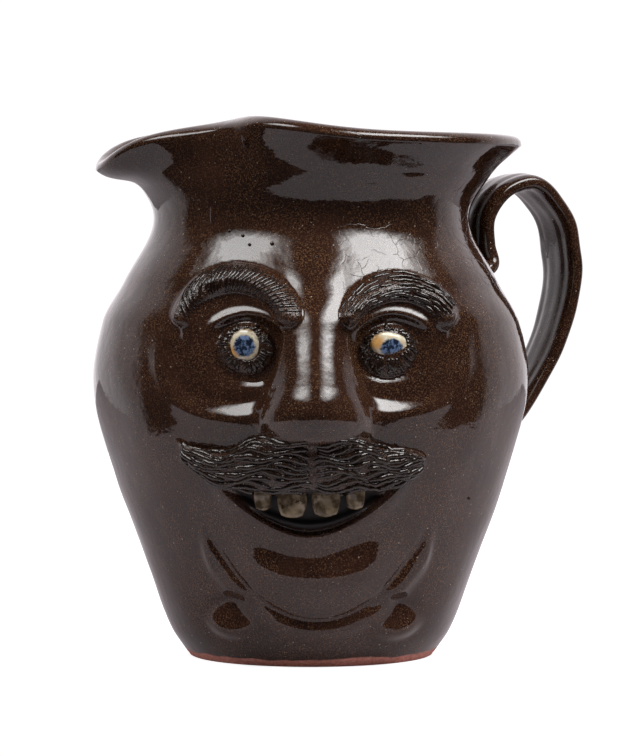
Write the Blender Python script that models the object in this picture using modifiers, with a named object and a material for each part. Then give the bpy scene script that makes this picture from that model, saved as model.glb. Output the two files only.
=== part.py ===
"""A wheel-thrown stoneware face jug: hollow, with a pulled spout, a strap handle and a modelled face.

Metres, +Z up. The origin is the middle of the foot's underside. The face looks along -Y, the spout
leaves to -X and the handle stands to +X. A turn is an angle about the axis, 0 at the front, rising
towards +X. A form of the face is placed by (x, z) on the front of the wall.
"""

import math

import bmesh
import bpy
import numpy as np
from mathutils import Matrix, Vector

MM = 0.001

# The thrown wall
FOOT_RADIUS = 0.0558
HEEL_RADIUS = 0.0645
HEEL_HEIGHT = 0.0130
WAIST_RADIUS = 0.0757
WAIST_HEIGHT = 0.0430
CHEST_RADIUS = 0.0888
CHEST_HEIGHT = 0.0800
BELLY_RADIUS = 0.1000
BELLY_HEIGHT = 0.1280
SHOULDER_RADIUS = 0.0957
SHOULDER_HEIGHT = 0.1536
SLOPE_RADIUS = 0.0860
SLOPE_HEIGHT = 0.1720
NECK_RADIUS = 0.0726
NECK_HEIGHT = 0.2010
FLARE_RADIUS = 0.0820
FLARE_HEIGHT = 0.2200
RIM_RADIUS = 0.0964
RIM_HEIGHT = 0.2335
WALL = 0.0065
FLOOR = 0.0090
LIP_DEPTH = 0.0045
FOOT_BEVEL = 0.0012

# The pulled spout
SPOUT_TURN = math.radians(-80)
SPOUT_START_HEIGHT = 0.2130
SPOUT_DROP = 0.0115
SPOUT_DROP_SPREAD = math.radians(18)
SPOUT_REACH = 0.0028
SPOUT_REACH_SPREAD = math.radians(17)
SPOUT_PINCH = 0.0210
SPOUT_PINCH_START = 0.2030
SPOUT_PINCH_TURN = math.radians(47)
SPOUT_PINCH_SPREAD = math.radians(20)
FRONT_PINCH = 0.0020
FRONT_PINCH_TURN = math.radians(18)
FRONT_PINCH_SPREAD = math.radians(32)
RIM_RISE = 0.0072
RIM_RISE_TURN = math.radians(58)
RIM_RISE_SPREAD = math.radians(27)

# The strap handle, in the plane that holds the axis
HANDLE_TURN = math.radians(116)
HANDLE_WIDTH = 0.0320
HANDLE_THICKNESS = 0.0090
HANDLE_ROOT_HEIGHT = 0.1760
HANDLE_TAIL_HEIGHT = 0.1000
HANDLE_CROWN_HEIGHT = 0.2176
HANDLE_BOW_HEIGHT = 0.1830
HANDLE_REACH = 0.0328
HANDLE_STEM_GAP = 0.0095
HANDLE_SINK = 0.0025
HANDLE_STEPS = 30
HANDLE_SIDES = 14

# The eyes: balls, lids, sockets, the bone under the brow and the brow
FACE_LIFT = 6.0 * MM
LEFT, RIGHT = -1, 1
BALL_SHIFT = {LEFT: (0.2 * MM, -1.9 * MM), RIGHT: (0.8 * MM, -3.0 * MM)}
BALL_SIZE = (14.0 * MM, 11.5 * MM)
BALL_RISE = 5.2 * MM
LID_DEPTH = 2.7 * MM
LID_WIDTH = 4.6 * MM
LID_CREST = 1.3 * MM
LID_SLOPE_WIDTH = 3.0 * MM
LID_POWERS = (1.75, 2.6)
SOCKET_DEPTH = 5.4 * MM
SOCKET_WIDTH = 6.8 * MM
SOCKET_POWER = 2.5
SOCKET_FADE = (-8.0 * MM, 26.0 * MM)
SOCKET_LIP_RISE = 0.9 * MM
SOCKET_LIP_WIDTH = 3.5 * MM
BONE_RISE = 4.4 * MM
BONE_WIDTH = 12.5 * MM
BONE_TOP_WIDTH = 6.0 * MM
BROW_HALF_THICKNESS = 6.5 * MM
BROW_RISE = 4.0 * MM

# The nose, by stations of height
NOSE_X = 2.2 * MM
NOSE_HEIGHTS = np.array([99, 101, 103.5, 108, 112, 115, 120, 128, 140, 152, 162, 171, 180, 190]) * MM
NOSE_RISES = np.array([0, 5.5, 14.0, 17.0, 19.3, 19.6, 17.8, 13.5, 8.9, 5.5, 3.6, 2.0, 0.7, 0]) * MM
NOSE_HALVES = np.array([23, 24, 25, 26, 26, 25.5, 24, 21, 17.5, 15, 13.5, 13, 14, 15]) * MM
NOSE_POWER = 1.85
NOSE_FILLET = 0.03

# The mustache, by shares of the way to its tips
MUSTACHE_NOTCH_X = 1.0 * MM
MUSTACHE_REACH = {LEFT: 62.0 * MM, RIGHT: 52.0 * MM}
MUSTACHE_SHARES = [0.0, 0.13, 0.36, 0.66, 0.90, 1.0]
MUSTACHE_TOPS = {
    LEFT: np.array([103.5, 104.5, 105.2, 98.2, 99.0, 103.0]) * MM,
    RIGHT: np.array([103.5, 104.0, 105.0, 99.8, 98.2, 95.5]) * MM,
}
MUSTACHE_BASES = {
    LEFT: np.array([79.0, 78.9, 79.2, 82.0, 91.0, 99.5]) * MM,
    RIGHT: np.array([79.0, 79.2, 79.8, 82.0, 87.0, 91.0]) * MM,
}
MUSTACHE_THICKNESS = np.array([0.86, 1.0, 1.0, 0.8, 0.55, 0.25])
MUSTACHE_RISE = 10.0 * MM

# The mouth and its lips
MOUTH_X = -0.8 * MM
MOUTH_HALF_WIDTH = 34.5 * MM
MOUTH_TOP = 80.0 * MM
MOUTH_BOTTOM = 61.8 * MM
MOUTH_CORNER = 79.0 * MM
MOUTH_POWER = 1.9
MOUTH_EDGE = 1.5 * MM
MOUTH_DEPTH_PLACE = -0.8 * MM
MUZZLE = (-1.0 * MM, 76.0 * MM)
MUZZLE_SIZE = (58.0 * MM, 29.0 * MM, 21.0 * MM)
MUZZLE_RISE = 4.0 * MM
LIP_RISE = 2.6 * MM
LIP_DROP = 3.0 * MM
LIP_WIDTH = 5.0 * MM
LIP_TOP = 92.0 * MM
GUM_RISE = 3.2 * MM
GUM_WIDTH = 1.7 * MM
GUM_HEIGHT = 4.0 * MM

# The chin, the fold under it and the dents at the heel
CHIN = (1.5 * MM, 41.0 * MM)
CHIN_BEND = 12.0 * MM
CHIN_RISE = 7.8 * MM
CHIN_HALF_WIDTH = 38.0 * MM
CHIN_UP = 17.0 * MM
CHIN_DOWN = 22.0 * MM
FOLD_X = 3.0 * MM
FOLD_BOTTOM = 21.9 * MM
FOLD_CLIMB = 24.0 * MM
FOLD_HALF_WIDTH = 41.0 * MM
FOLD_POWER = 2.1
FOLD_RISE = 3.0 * MM
FOLD_EDGE = 5.0 * MM
FOLD_FLAT = 4.5 * MM
FOLD_FADE = 7.0 * MM
FOLD_END = 53.0 * MM
CREASE_DEPTH = 0.8 * MM
CREASE_WIDTH = 1.4 * MM
HEEL_PATCHES = ((-37.0 * MM, 23.5 * MM), (40.0 * MM, 23.0 * MM))
HEEL_PATCH_SIZE = (13.5 * MM, 10.0 * MM)
HEEL_PATCH_SLOPE = 0.50

# The inset pieces of paler clay
EYE_CHIP_RADIUS = 0.0080
EYE_CHIP_THICKNESS = 0.0044
EYE_CHIP_PROUD = 0.0012
EYE_CHIP_SEGMENTS = 22
EYE_CHIP_RINGS = 10
TOOTH_THICKNESS = 0.0050
TOOTH_PLACES = (-0.0214, -0.0083, 0.0068, 0.0200)
TOOTH_WIDTHS = (0.0078, 0.0130, 0.0126, 0.0086)
TOOTH_DROPS = (0.0076, 0.0106, 0.0101, 0.0070)
TOOTH_ROOT = 0.0050
TOOTH_SETBACK = 0.0008
TOOTH_ROUNDING = 0.0015
SEAT_GAP = 0.0003

# How finely the clay is faceted
AROUND = 176
FRONT_GATHER = 0.58
WALL_ROWS = 149
INNER_ROWS = 16
POT_TRIANGLES = 6850
SHARP_ANGLE = math.radians(50)


def wall_stations():
    """The outer wall's (radius, height) from the foot up to the rim."""
    return [
        (FOOT_RADIUS, 0.0),
        (HEEL_RADIUS, HEEL_HEIGHT),
        (WAIST_RADIUS, WAIST_HEIGHT),
        (CHEST_RADIUS, CHEST_HEIGHT),
        (BELLY_RADIUS, BELLY_HEIGHT),
        (SHOULDER_RADIUS, SHOULDER_HEIGHT),
        (SLOPE_RADIUS, SLOPE_HEIGHT),
        (NECK_RADIUS, NECK_HEIGHT),
        (FLARE_RADIUS, FLARE_HEIGHT),
        (RIM_RADIUS, RIM_HEIGHT),
    ]


def smooth_through(knots, values, at):
    """A curve through (knots, values) that never overshoots them, read at every number in at."""
    knots = np.asarray(knots, float)
    values = np.asarray(values, float)
    steps = np.diff(knots)
    slopes = np.diff(values) / steps
    tangents = np.concatenate([[slopes[0]], np.zeros(len(slopes) - 1), [slopes[-1]]])
    for i in range(1, len(slopes)):
        if slopes[i - 1] * slopes[i] > 0:
            tangents[i] = 2 * slopes[i - 1] * slopes[i] / (slopes[i - 1] + slopes[i])
    at = np.clip(np.asarray(at, float), knots[0], knots[-1])
    i = np.clip(np.searchsorted(knots, at, side="right") - 1, 0, len(steps) - 1)
    t = (at - knots[i]) / steps[i]
    return (
        values[i] * (1 + 2 * t) * (1 - t) ** 2
        + values[i + 1] * t**2 * (3 - 2 * t)
        + tangents[i] * steps[i] * t * (1 - t) ** 2
        + tangents[i + 1] * steps[i] * t**2 * (t - 1)
    )


def wall_radius(z):
    """Radius of the plain turned wall at height z."""
    radii, heights = zip(*wall_stations())
    return smooth_through(heights, radii, z)


def ease(t):
    """0 below 0, 1 above 1, and smooth between."""
    t = np.clip(t, 0, 1)
    return t * t * (3 - 2 * t)


def ramp(t):
    """0 below 0, 1 above 1, and straight between, with a little rounding at both ends."""
    soft = 0.10
    return soft * (np.logaddexp(0, t / soft) - np.logaddexp(0, (t - 1) / soft))


def bell(distance, spread):
    """1 at no distance, falling smoothly away."""
    return np.exp(-((distance / spread) ** 2))


def pull_of_spout(turn, z):
    """(outward, upward) shift of the clay where the potter pinches the rim and pulls the spout."""
    beside = (turn - SPOUT_TURN + math.pi) % (2 * math.pi) - math.pi
    away = np.abs(beside)
    grip = ease((z - SPOUT_START_HEIGHT) / (RIM_HEIGHT - SPOUT_START_HEIGHT))
    squeeze = np.clip((z - SPOUT_PINCH_START) / (RIM_HEIGHT - SPOUT_PINCH_START), 0, 1.15) ** 2
    out = grip * SPOUT_REACH * bell(away, SPOUT_REACH_SPREAD)
    out = out - squeeze * SPOUT_PINCH * bell(away - SPOUT_PINCH_TURN, SPOUT_PINCH_SPREAD)
    out = out - squeeze * FRONT_PINCH * bell(turn - FRONT_PINCH_TURN, FRONT_PINCH_SPREAD)
    up = RIM_RISE * bell(away - RIM_RISE_TURN, RIM_RISE_SPREAD)
    up = up - SPOUT_DROP * bell(away, SPOUT_DROP_SPREAD)
    return out, grip * up


def outside_oval(x, z, centre, half_width, up, down, power):
    """Distance outwards from an oval whose upper and lower halves differ, below 0 inside it."""
    across = np.abs(x - centre[0])
    rise = z - centre[1]
    half_height = np.where(rise > 0, up, down)
    size = ((across / half_width) ** power + (np.abs(rise) / half_height) ** power) ** (1 / power)
    return np.hypot(across, rise) * (1 - 1 / np.maximum(size, 0.05))


class Eye:
    """The places and sizes that differ between the two eyes."""

    def __init__(self, side, chip, lids, lid_size, bag, bag_size, brow, brow_size, brow_span):
        self.side = side
        self.chip = chip
        self.lids = lids
        self.lid_size = lid_size
        self.bag = bag
        self.bag_size = bag_size
        self.brow = brow
        self.brow_size = brow_size
        self.brow_span = brow_span


left_eye = Eye(
    side=LEFT,
    chip=(-31.2 * MM, 144.7 * MM),
    lids=(-30.1 * MM, 149.3 * MM),
    lid_size=(17.8 * MM, 9.7 * MM, 23.4 * MM),
    bag=(-38.2 * MM, 141.0 * MM),
    bag_size=(29.0 * MM, 21.0 * MM, 24.6 * MM),
    brow=(-34.3 * MM, 150.0 * MM),
    brow_size=(26.0 * MM, 24.0 * MM),
    brow_span=(math.radians(163), math.radians(22)),
)
right_eye = Eye(
    side=RIGHT,
    chip=(36.9 * MM, 145.1 * MM),
    lids=(38.4 * MM, 149.2 * MM),
    lid_size=(17.6 * MM, 9.7 * MM, 21.4 * MM),
    bag=(41.0 * MM, 141.5 * MM),
    bag_size=(27.5 * MM, 20.0 * MM, 23.4 * MM),
    brow=(39.8 * MM, 147.5 * MM),
    brow_size=(24.8 * MM, 23.0 * MM),
    brow_span=(math.radians(26), math.radians(154)),
)


def socket_form(x, z, eye):
    """The hollow that the potter's thumb presses round an eye, with a soft lip on its outer side."""
    away = outside_oval(x, z, eye.bag, *eye.bag_size, SOCKET_POWER)
    lower = ease((eye.bag[1] + 0.7 * SOCKET_FADE[1] - z) / SOCKET_FADE[1])
    outer = ease((eye.side * (x - eye.bag[0]) - SOCKET_FADE[0]) / SOCKET_FADE[1])
    deep = SOCKET_DEPTH * (0.25 + 0.75 * lower) * (1 - 0.6 * outer)
    hollow = deep * (1 - ramp((away + SOCKET_WIDTH / 2) / SOCKET_WIDTH))
    lip = SOCKET_LIP_RISE * bell(away - SOCKET_LIP_WIDTH, SOCKET_LIP_WIDTH) * lower * outer
    return lip - hollow


def ball_place(x, z, eye):
    """Distance from the middle of the eye's ball, 1 at its edge."""
    shift = BALL_SHIFT[eye.side]
    return np.hypot((x - eye.chip[0] - shift[0]) / BALL_SIZE[0], (z - eye.chip[1] - shift[1]) / BALL_SIZE[1])


def lid_form(x, z, eye):
    """The lower lid is a step up to the socket, the upper lid a rolled ridge, and the ball sits inside."""
    power = np.where(z > eye.lids[1], *LID_POWERS)
    away = outside_oval(x, z, eye.lids, *eye.lid_size, power)
    upper = ease((z - eye.lids[1] + LID_WIDTH) / (2 * LID_WIDTH))
    step = -LID_DEPTH * (1 - ramp((away + LID_WIDTH) / LID_WIDTH))
    inner_side = bell(away, 0.3 * LID_WIDTH)
    roll = LID_CREST * np.where(away > 0, 1 - ramp(away / LID_SLOPE_WIDTH), inner_side)
    inside = ease(-away / (0.4 * LID_WIDTH))
    dome = BALL_RISE * np.sqrt(np.clip(1 - ball_place(x, z, eye) ** 2, 0, 1))
    return step + roll * upper + inside * dome


def brow_line(eye, share):
    """The brow's middle line, from its outer end at 0 to its inner end at 1, as (x, z)."""
    start, end = eye.brow_span
    turn = start + (end - start) * share
    return eye.brow[0] + eye.brow_size[0] * np.cos(turn), eye.brow[1] + eye.brow_size[1] * np.sin(turn)


def brow_place(x, z, eye):
    """(share along the brow, distance from its middle line) of a place near it."""
    turn = np.arctan2((z - eye.brow[1]) / eye.brow_size[1], (x - eye.brow[0]) / eye.brow_size[0])
    turn = np.where(turn < -math.pi / 2, turn + 2 * math.pi, turn)
    start, end = eye.brow_span
    share = np.clip((turn - start) / (end - start), 0, 1)
    px, pz = brow_line(eye, share)
    return share, np.hypot(x - px, z - pz)


def bone_form(x, z, eye):
    """The bone under a brow, which carries the upper lid forward."""
    _, away = brow_place(x, z, eye)
    size = np.hypot((x - eye.brow[0]) / eye.brow_size[0], (z - eye.brow[1]) / eye.brow_size[1])
    return BONE_RISE * (1 - ramp(away / np.where(size < 1, BONE_WIDTH, BONE_TOP_WIDTH)))


def brow_form(x, z, eye):
    """A thick coil of clay arched over one eye, thinner at its outer end."""
    share, away = brow_place(x, z, eye)
    outer = share if eye.side == LEFT else 1 - share
    half = BROW_HALF_THICKNESS * (0.72 + 0.28 * ease(outer / 0.35))
    return BROW_RISE * (0.8 + 0.2 * outer) * np.clip(1 - (away / half) ** 2.6, 0, 1) ** 0.75


def nose_form(x, z):
    """A long rounded bridge that widens into the wings, over a base that slopes back."""
    rise = smooth_through(NOSE_HEIGHTS, NOSE_RISES, z)
    half = smooth_through(NOSE_HEIGHTS, NOSE_HALVES, z)
    away = np.abs(x - NOSE_X) / half
    section = 1 - away**NOSE_POWER
    section = (section + np.sqrt(section**2 + NOSE_FILLET)) / 2
    section = section * (1 - ease((away - 1.0) / 0.5))
    return rise * section * (z > NOSE_HEIGHTS[0]) * (z < NOSE_HEIGHTS[-1])


def mustache_edges(side, share):
    """(lower edge, upper edge, share of full thickness) at a share of the way to one tip."""
    base = smooth_through(MUSTACHE_SHARES, MUSTACHE_BASES[side], share)
    top = smooth_through(MUSTACHE_SHARES, MUSTACHE_TOPS[side], share)
    return base, top, smooth_through(MUSTACHE_SHARES, MUSTACHE_THICKNESS, share)


def mustache_form(x, z):
    """A full mustache with a notch under the nose."""
    rise = np.zeros_like(x)
    for side in (LEFT, RIGHT):
        share = side * (x - MUSTACHE_NOTCH_X) / MUSTACHE_REACH[side]
        base, top, thick = mustache_edges(side, np.clip(share, 0, 1))
        across = (z - (top + base) / 2) / ((top - base) / 2)
        body = np.clip(1 - np.abs(across) ** 4, 0, 1) ** 0.6
        end = 1 - ease((share - 0.93) / 0.09)
        rise = np.where((share >= 0), MUSTACHE_RISE * thick * body * end, rise)
    return rise


def mouth_reach(x):
    """0 in the middle of the mouth and 1 at its corners."""
    return np.abs(x - MOUTH_X) / MOUTH_HALF_WIDTH


def lower_edge(x):
    """Height of the mouth's lower edge at x."""
    return MOUTH_BOTTOM + (MOUTH_CORNER - MOUTH_BOTTOM) * mouth_reach(x) ** MOUTH_POWER


def lip_form(x, z):
    """The swelling that carries the mouth, and the rounded lower lip that runs up round its corners."""
    half_height = np.where(z > MUZZLE[1], MUZZLE_SIZE[1], MUZZLE_SIZE[2])
    muzzle = np.hypot((x - MUZZLE[0]) / MUZZLE_SIZE[0], (z - MUZZLE[1]) / half_height)
    slope = MOUTH_POWER * (MOUTH_CORNER - MOUTH_BOTTOM) / MOUTH_HALF_WIDTH
    slope = slope * mouth_reach(x) ** (MOUTH_POWER - 1)
    below = (lower_edge(x) - z) / np.sqrt(1 + slope**2)
    lip = bell(below - LIP_DROP, LIP_WIDTH) * (1 - ease((mouth_reach(x) - 1.05) / 0.5)) * (z < LIP_TOP)
    return MUZZLE_RISE * (1 - ease(muzzle)) + LIP_RISE * lip


def mouth_opening(x, z):
    """1 in the open mouth, 0 outside, with rounded edges."""
    above = ease((z - lower_edge(x)) / MOUTH_EDGE + 0.5)
    below = ease((MOUTH_TOP - z) / MOUTH_EDGE + 0.5)
    sides = ease((1.03 - mouth_reach(x)) / 0.06)
    return above * below * sides


def gum_form(x, z):
    """The low ridge of the gum behind the lower lip."""
    middle = lower_edge(x) + GUM_HEIGHT * (1 - mouth_reach(x) ** 2)
    return GUM_RISE * bell(z - middle, GUM_WIDTH)


def fold_crease(x):
    """Height of the crease under the chin at x."""
    return FOLD_BOTTOM + FOLD_CLIMB * (np.abs(x - FOLD_X) / FOLD_HALF_WIDTH) ** FOLD_POWER


def chin_form(x, z):
    """The ball of the chin, and the soft fold that swings up on both sides of it."""
    reach = np.abs(x - CHIN[0]) / CHIN_HALF_WIDTH
    bent = z - CHIN[1] - CHIN_BEND * reach**2
    ball = (1 - ramp(bent / CHIN_UP)) * (1 - ease(-bent / CHIN_DOWN)) * (1 - ease((reach - 0.45) / 0.75))
    slope = FOLD_POWER * FOLD_CLIMB / FOLD_HALF_WIDTH
    slope = slope * (np.abs(x - FOLD_X) / FOLD_HALF_WIDTH) ** (FOLD_POWER - 1)
    outside = (fold_crease(x) - z) / np.sqrt(1 + slope**2)
    ends = 1 - ease((np.abs(x - FOLD_X) - FOLD_END + 0.6 * FOLD_EDGE) / (1.4 * FOLD_EDGE))
    fold = ramp(outside / FOLD_EDGE) * (1 - ease((outside - FOLD_FLAT) / FOLD_FADE))
    crease = CREASE_DEPTH * bell(outside, CREASE_WIDTH)
    return CHIN_RISE * ball + (FOLD_RISE * fold - crease) * ends


def heel_form(x, z):
    """Two places low on the wall that a thumb pressed upright."""
    rise = np.zeros_like(x)
    for centre_x, centre_z in HEEL_PATCHES:
        away = np.hypot((x - centre_x) / HEEL_PATCH_SIZE[0], (z - centre_z) / HEEL_PATCH_SIZE[1])
        rise = rise - HEEL_PATCH_SLOPE * (z - centre_z) * (1 - ease((away - 0.65) / 0.6))
    return rise


def laid_over(under, form, keep):
    """Clay pressed onto what lies under it, of which only a share still shows through."""
    sunk = 1 - (1 - keep) * ease(form / (1.5 * MM))
    return np.maximum(under, under * sunk + form)


def face_relief(x, z):
    """How far the modelled face stands out from the turned wall at (x, z)."""
    rise = chin_form(x, z) + lip_form(x, z) + heel_form(x, z)
    for eye in (left_eye, right_eye):
        rise = rise + socket_form(x, z, eye) + lid_form(x, z, eye) + bone_form(x, z, eye)
    rise = laid_over(rise, nose_form(x, z), 0.25)
    for eye in (left_eye, right_eye):
        rise = rise + brow_form(x, z, eye)
    rise = laid_over(rise, mustache_form(x, z), 0.3)
    mouth = mouth_opening(x, z)
    return rise * (1 - mouth) + (MOUTH_DEPTH_PLACE + gum_form(x, z)) * mouth


def face_point(x, z, lift=0.0):
    """The place on the modelled face at (x, z), moved out from the axis by lift."""
    plain = float(wall_radius(z))
    turn = math.asin(x / (plain + FACE_LIFT))
    radius = plain + float(face_relief(np.array([x]), np.array([z]))[0]) + lift
    return Vector((radius * math.sin(turn), -radius * math.cos(turn), z))


def lathe_profile():
    """The wall's section as (radius, height), from the inside of the floor over the rim to the foot."""
    heights = np.linspace(0, RIM_HEIGHT, WALL_ROWS)
    radii = wall_radius(heights)
    slope = np.gradient(radii, heights)
    inner_z = FLOOR + np.linspace(0.06, 1.0, INNER_ROWS) * (RIM_HEIGHT - FLOOR)
    steep = np.sqrt(1 + np.interp(inner_z, heights, slope) ** 2)
    inner_r = wall_radius(inner_z) - WALL * steep
    inside = [(0.0, FLOOR), (0.55 * FOOT_RADIUS, FLOOR), (inner_r[0] - 0.25 * WALL, FLOOR + 0.25 * WALL)]
    inside += list(zip(inner_r, inner_z))
    lip = [
        (inner_r[-1] + 0.10 * WALL, RIM_HEIGHT + 0.65 * LIP_DEPTH),
        (RIM_RADIUS - 0.55 * WALL, RIM_HEIGHT + LIP_DEPTH),
        (RIM_RADIUS - 0.15 * WALL, RIM_HEIGHT + 0.85 * LIP_DEPTH),
        (RIM_RADIUS, RIM_HEIGHT + 0.45 * LIP_DEPTH),
    ]
    outside = list(zip(radii[::-1], heights[::-1]))[:-1]
    foot = [
        (FOOT_RADIUS + 0.5 * FOOT_BEVEL, FOOT_BEVEL),
        (FOOT_RADIUS - 0.5 * FOOT_BEVEL, 0.0),
        (0.5 * FOOT_RADIUS, 0.0),
        (0.0, 0.0),
    ]
    outside = [point for point in outside if point[1] > 1.5 * FOOT_BEVEL]
    return inside + lip + outside + foot


def coordinates(mesh):
    """The mesh's vertices as an array of rows."""
    flat = np.empty(3 * len(mesh.vertices), np.float32)
    mesh.vertices.foreach_get("co", flat)
    return flat.reshape(-1, 3).astype(float)


def baked(obj):
    """Replaces an object's modifiers or curve by the mesh that they make, with loose caps welded."""
    graph = bpy.context.evaluated_depsgraph_get()
    mesh = bpy.data.meshes.new_from_object(obj.evaluated_get(graph))
    name, matrix = obj.name, obj.matrix_world.copy()
    collections = list(obj.users_collection)
    bpy.data.objects.remove(obj)
    clay = bmesh.new()
    clay.from_mesh(mesh)
    bmesh.ops.remove_doubles(clay, verts=clay.verts, dist=1e-5)
    clay.to_mesh(mesh)
    clay.free()
    result = bpy.data.objects.new(name, mesh)
    result.matrix_world = matrix
    for collection in collections:
        collection.objects.link(result)
    return result


def throw_pot(collection):
    """The plain pot, turned from its section."""
    profile = lathe_profile()
    mesh = bpy.data.meshes.new("pot")
    edges = [(i, i + 1) for i in range(len(profile) - 1)]
    mesh.from_pydata([(radius, 0, z) for radius, z in profile], edges, [])
    pot = bpy.data.objects.new("pot", mesh)
    collection.objects.link(pot)
    screw = pot.modifiers.new("Turn", "SCREW")
    screw.axis = "Z"
    screw.steps = AROUND
    screw.render_steps = AROUND
    screw.use_merge_vertices = True
    screw.merge_threshold = 0.00005
    bpy.context.view_layer.update()
    return baked(pot)


def shape_pot(pot):
    """Pulls the spout and raises the face, moving the thrown clay where it stands."""
    points = coordinates(pot.data)
    radius = np.hypot(points[:, 0], points[:, 1])
    turn = np.arctan2(points[:, 0], -points[:, 1])
    turn = turn - FRONT_GATHER * np.sin(turn)
    z = points[:, 2]
    outside = radius > wall_radius(z) - 0.5 * WALL
    x = (wall_radius(z) + FACE_LIFT) * np.sin(turn)
    front = outside & (np.abs(turn) < math.pi / 2) & (z > HEEL_HEIGHT) & (z < NECK_HEIGHT)
    rise = np.where(front, face_relief(x, z), 0.0)
    out, up = pull_of_spout(turn, z)
    radius = radius + np.where(radius > 0.5 * NECK_RADIUS, rise + out, 0.0)
    points = np.stack([radius * np.sin(turn), -radius * np.cos(turn), z + up], axis=1)
    pot.data.vertices.foreach_set("co", points.astype(np.float32).ravel())
    pot.data.update()


def placed(name, mesh, matrix, collection):
    """An object with that mesh, moved to its place."""
    mesh.transform(matrix)
    obj = bpy.data.objects.new(name, mesh)
    collection.objects.link(obj)
    return obj


def rounded_curve(knots, values, at):
    """A Catmull-Rom curve through (knots, values), read at every number in at."""
    tangents = np.gradient(values, knots)
    i = np.clip(np.searchsorted(knots, at, side="right") - 1, 0, len(knots) - 2)
    step = knots[i + 1] - knots[i]
    t = (at - knots[i]) / step
    return (
        values[i] * (1 + 2 * t) * (1 - t) ** 2
        + values[i + 1] * t**2 * (3 - 2 * t)
        + tangents[i] * step * t * (1 - t) ** 2
        + tangents[i + 1] * step * t**2 * (t - 1)
    )


def handle_route():
    """The strap's middle line as (radius, height, size), from the shoulder over the top to the belly."""
    root = float(wall_radius(HANDLE_ROOT_HEIGHT))
    tail = float(wall_radius(HANDLE_TAIL_HEIGHT))
    bow = BELLY_RADIUS + HANDLE_REACH
    stem = NECK_RADIUS + HANDLE_STEM_GAP
    rise = HANDLE_CROWN_HEIGHT - HANDLE_ROOT_HEIGHT
    fall = HANDLE_BOW_HEIGHT - HANDLE_TAIL_HEIGHT
    return [
        (root - HANDLE_SINK, HANDLE_ROOT_HEIGHT, 1.10),
        (root + 0.2 * HANDLE_STEM_GAP, HANDLE_ROOT_HEIGHT + 0.07 * rise, 1.10),
        (stem + 0.06 * (bow - stem), HANDLE_ROOT_HEIGHT + 0.29 * rise, 1.05),
        (stem + 0.08 * (bow - stem), HANDLE_ROOT_HEIGHT + 0.60 * rise, 1.0),
        (stem + 0.28 * (bow - stem), HANDLE_CROWN_HEIGHT - 0.09 * rise, 1.0),
        (stem + 0.54 * (bow - stem), HANDLE_CROWN_HEIGHT, 1.0),
        (stem + 0.84 * (bow - stem), HANDLE_CROWN_HEIGHT - 0.27 * rise, 1.0),
        (bow, HANDLE_BOW_HEIGHT, 1.0),
        (bow - 0.12 * (bow - tail), HANDLE_BOW_HEIGHT - 0.38 * fall, 0.95),
        (tail + 0.49 * (bow - tail), HANDLE_BOW_HEIGHT - 0.73 * fall, 0.9),
        (tail + 0.10 * (bow - tail), HANDLE_TAIL_HEIGHT + 0.05 * fall, 0.9),
        (tail - HANDLE_SINK, HANDLE_TAIL_HEIGHT, 0.9),
    ]


def pull_handle(parts):
    """The strap, drawn as rings along its route in the plane y = 0 and then turned to its place."""
    route = np.array(handle_route())
    run = np.concatenate([[0], np.cumsum(np.hypot(*np.diff(route[:, :2], axis=0).T))])
    fine = np.linspace(0, run[-1], HANDLE_STEPS)
    line = np.stack([rounded_curve(run, route[:, i], fine) for i in range(3)], axis=1)
    along = np.gradient(line[:, :2], axis=0)
    along /= np.linalg.norm(along, axis=1)[:, None]
    clay = bmesh.new()
    rings = []
    for (radius, z, size), (step_r, step_z) in zip(line, along):
        verts = []
        for i in range(HANDLE_SIDES):
            turn = 2 * math.pi * (i + 0.5) / HANDLE_SIDES
            wide = math.copysign(abs(math.cos(turn)) ** 0.75, math.cos(turn)) * HANDLE_WIDTH / 2
            deep = math.copysign(abs(math.sin(turn)) ** 0.75, math.sin(turn)) * HANDLE_THICKNESS / 2
            place = (radius - size * deep * step_z, size * wide, z + size * deep * step_r)
            verts.append(clay.verts.new(place))
        rings.append(verts)
    for before, after in zip(rings, rings[1:]):
        for i in range(HANDLE_SIDES):
            j = (i + 1) % HANDLE_SIDES
            clay.faces.new((before[i], before[j], after[j], after[i]))
    clay.faces.new(rings[0][::-1])
    clay.faces.new(rings[-1])
    bmesh.ops.recalc_face_normals(clay, faces=clay.faces)
    mesh = bpy.data.meshes.new("strap")
    clay.to_mesh(mesh)
    clay.free()
    return placed("strap", mesh, Matrix.Rotation(HANDLE_TURN - math.pi / 2, 4, "Z"), parts)


def combine(target, tool, operation):
    """Joins a tool to a target or cuts it away, and bakes the result."""
    boolean = target.modifiers.new(operation.title(), "BOOLEAN")
    boolean.operation = operation
    boolean.object = tool
    bpy.context.view_layer.update()
    return baked(target)


def thin_out(obj, triangles):
    """Keeps about that many triangles, most of them where the surface curves most."""
    obj.data.calc_loop_triangles()
    decimate = obj.modifiers.new("Thin", "DECIMATE")
    decimate.ratio = min(1.0, triangles / len(obj.data.loop_triangles))
    bpy.context.view_layer.update()
    return baked(obj)


def outward_at(x, z):
    """The direction that the plain wall faces at (x, z), and a level direction across it."""
    plain = float(wall_radius(z))
    turn = math.asin(x / (plain + FACE_LIFT))
    out = Vector((math.sin(turn), -math.cos(turn), 0))
    return out, Vector((math.cos(turn), math.sin(turn), 0))


def frame_at(place, out, across):
    """A matrix whose Z points out, X across and Y up."""
    up = out.cross(across)
    return Matrix.Translation(place) @ Matrix((across, up, out)).transposed().to_4x4()


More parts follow.
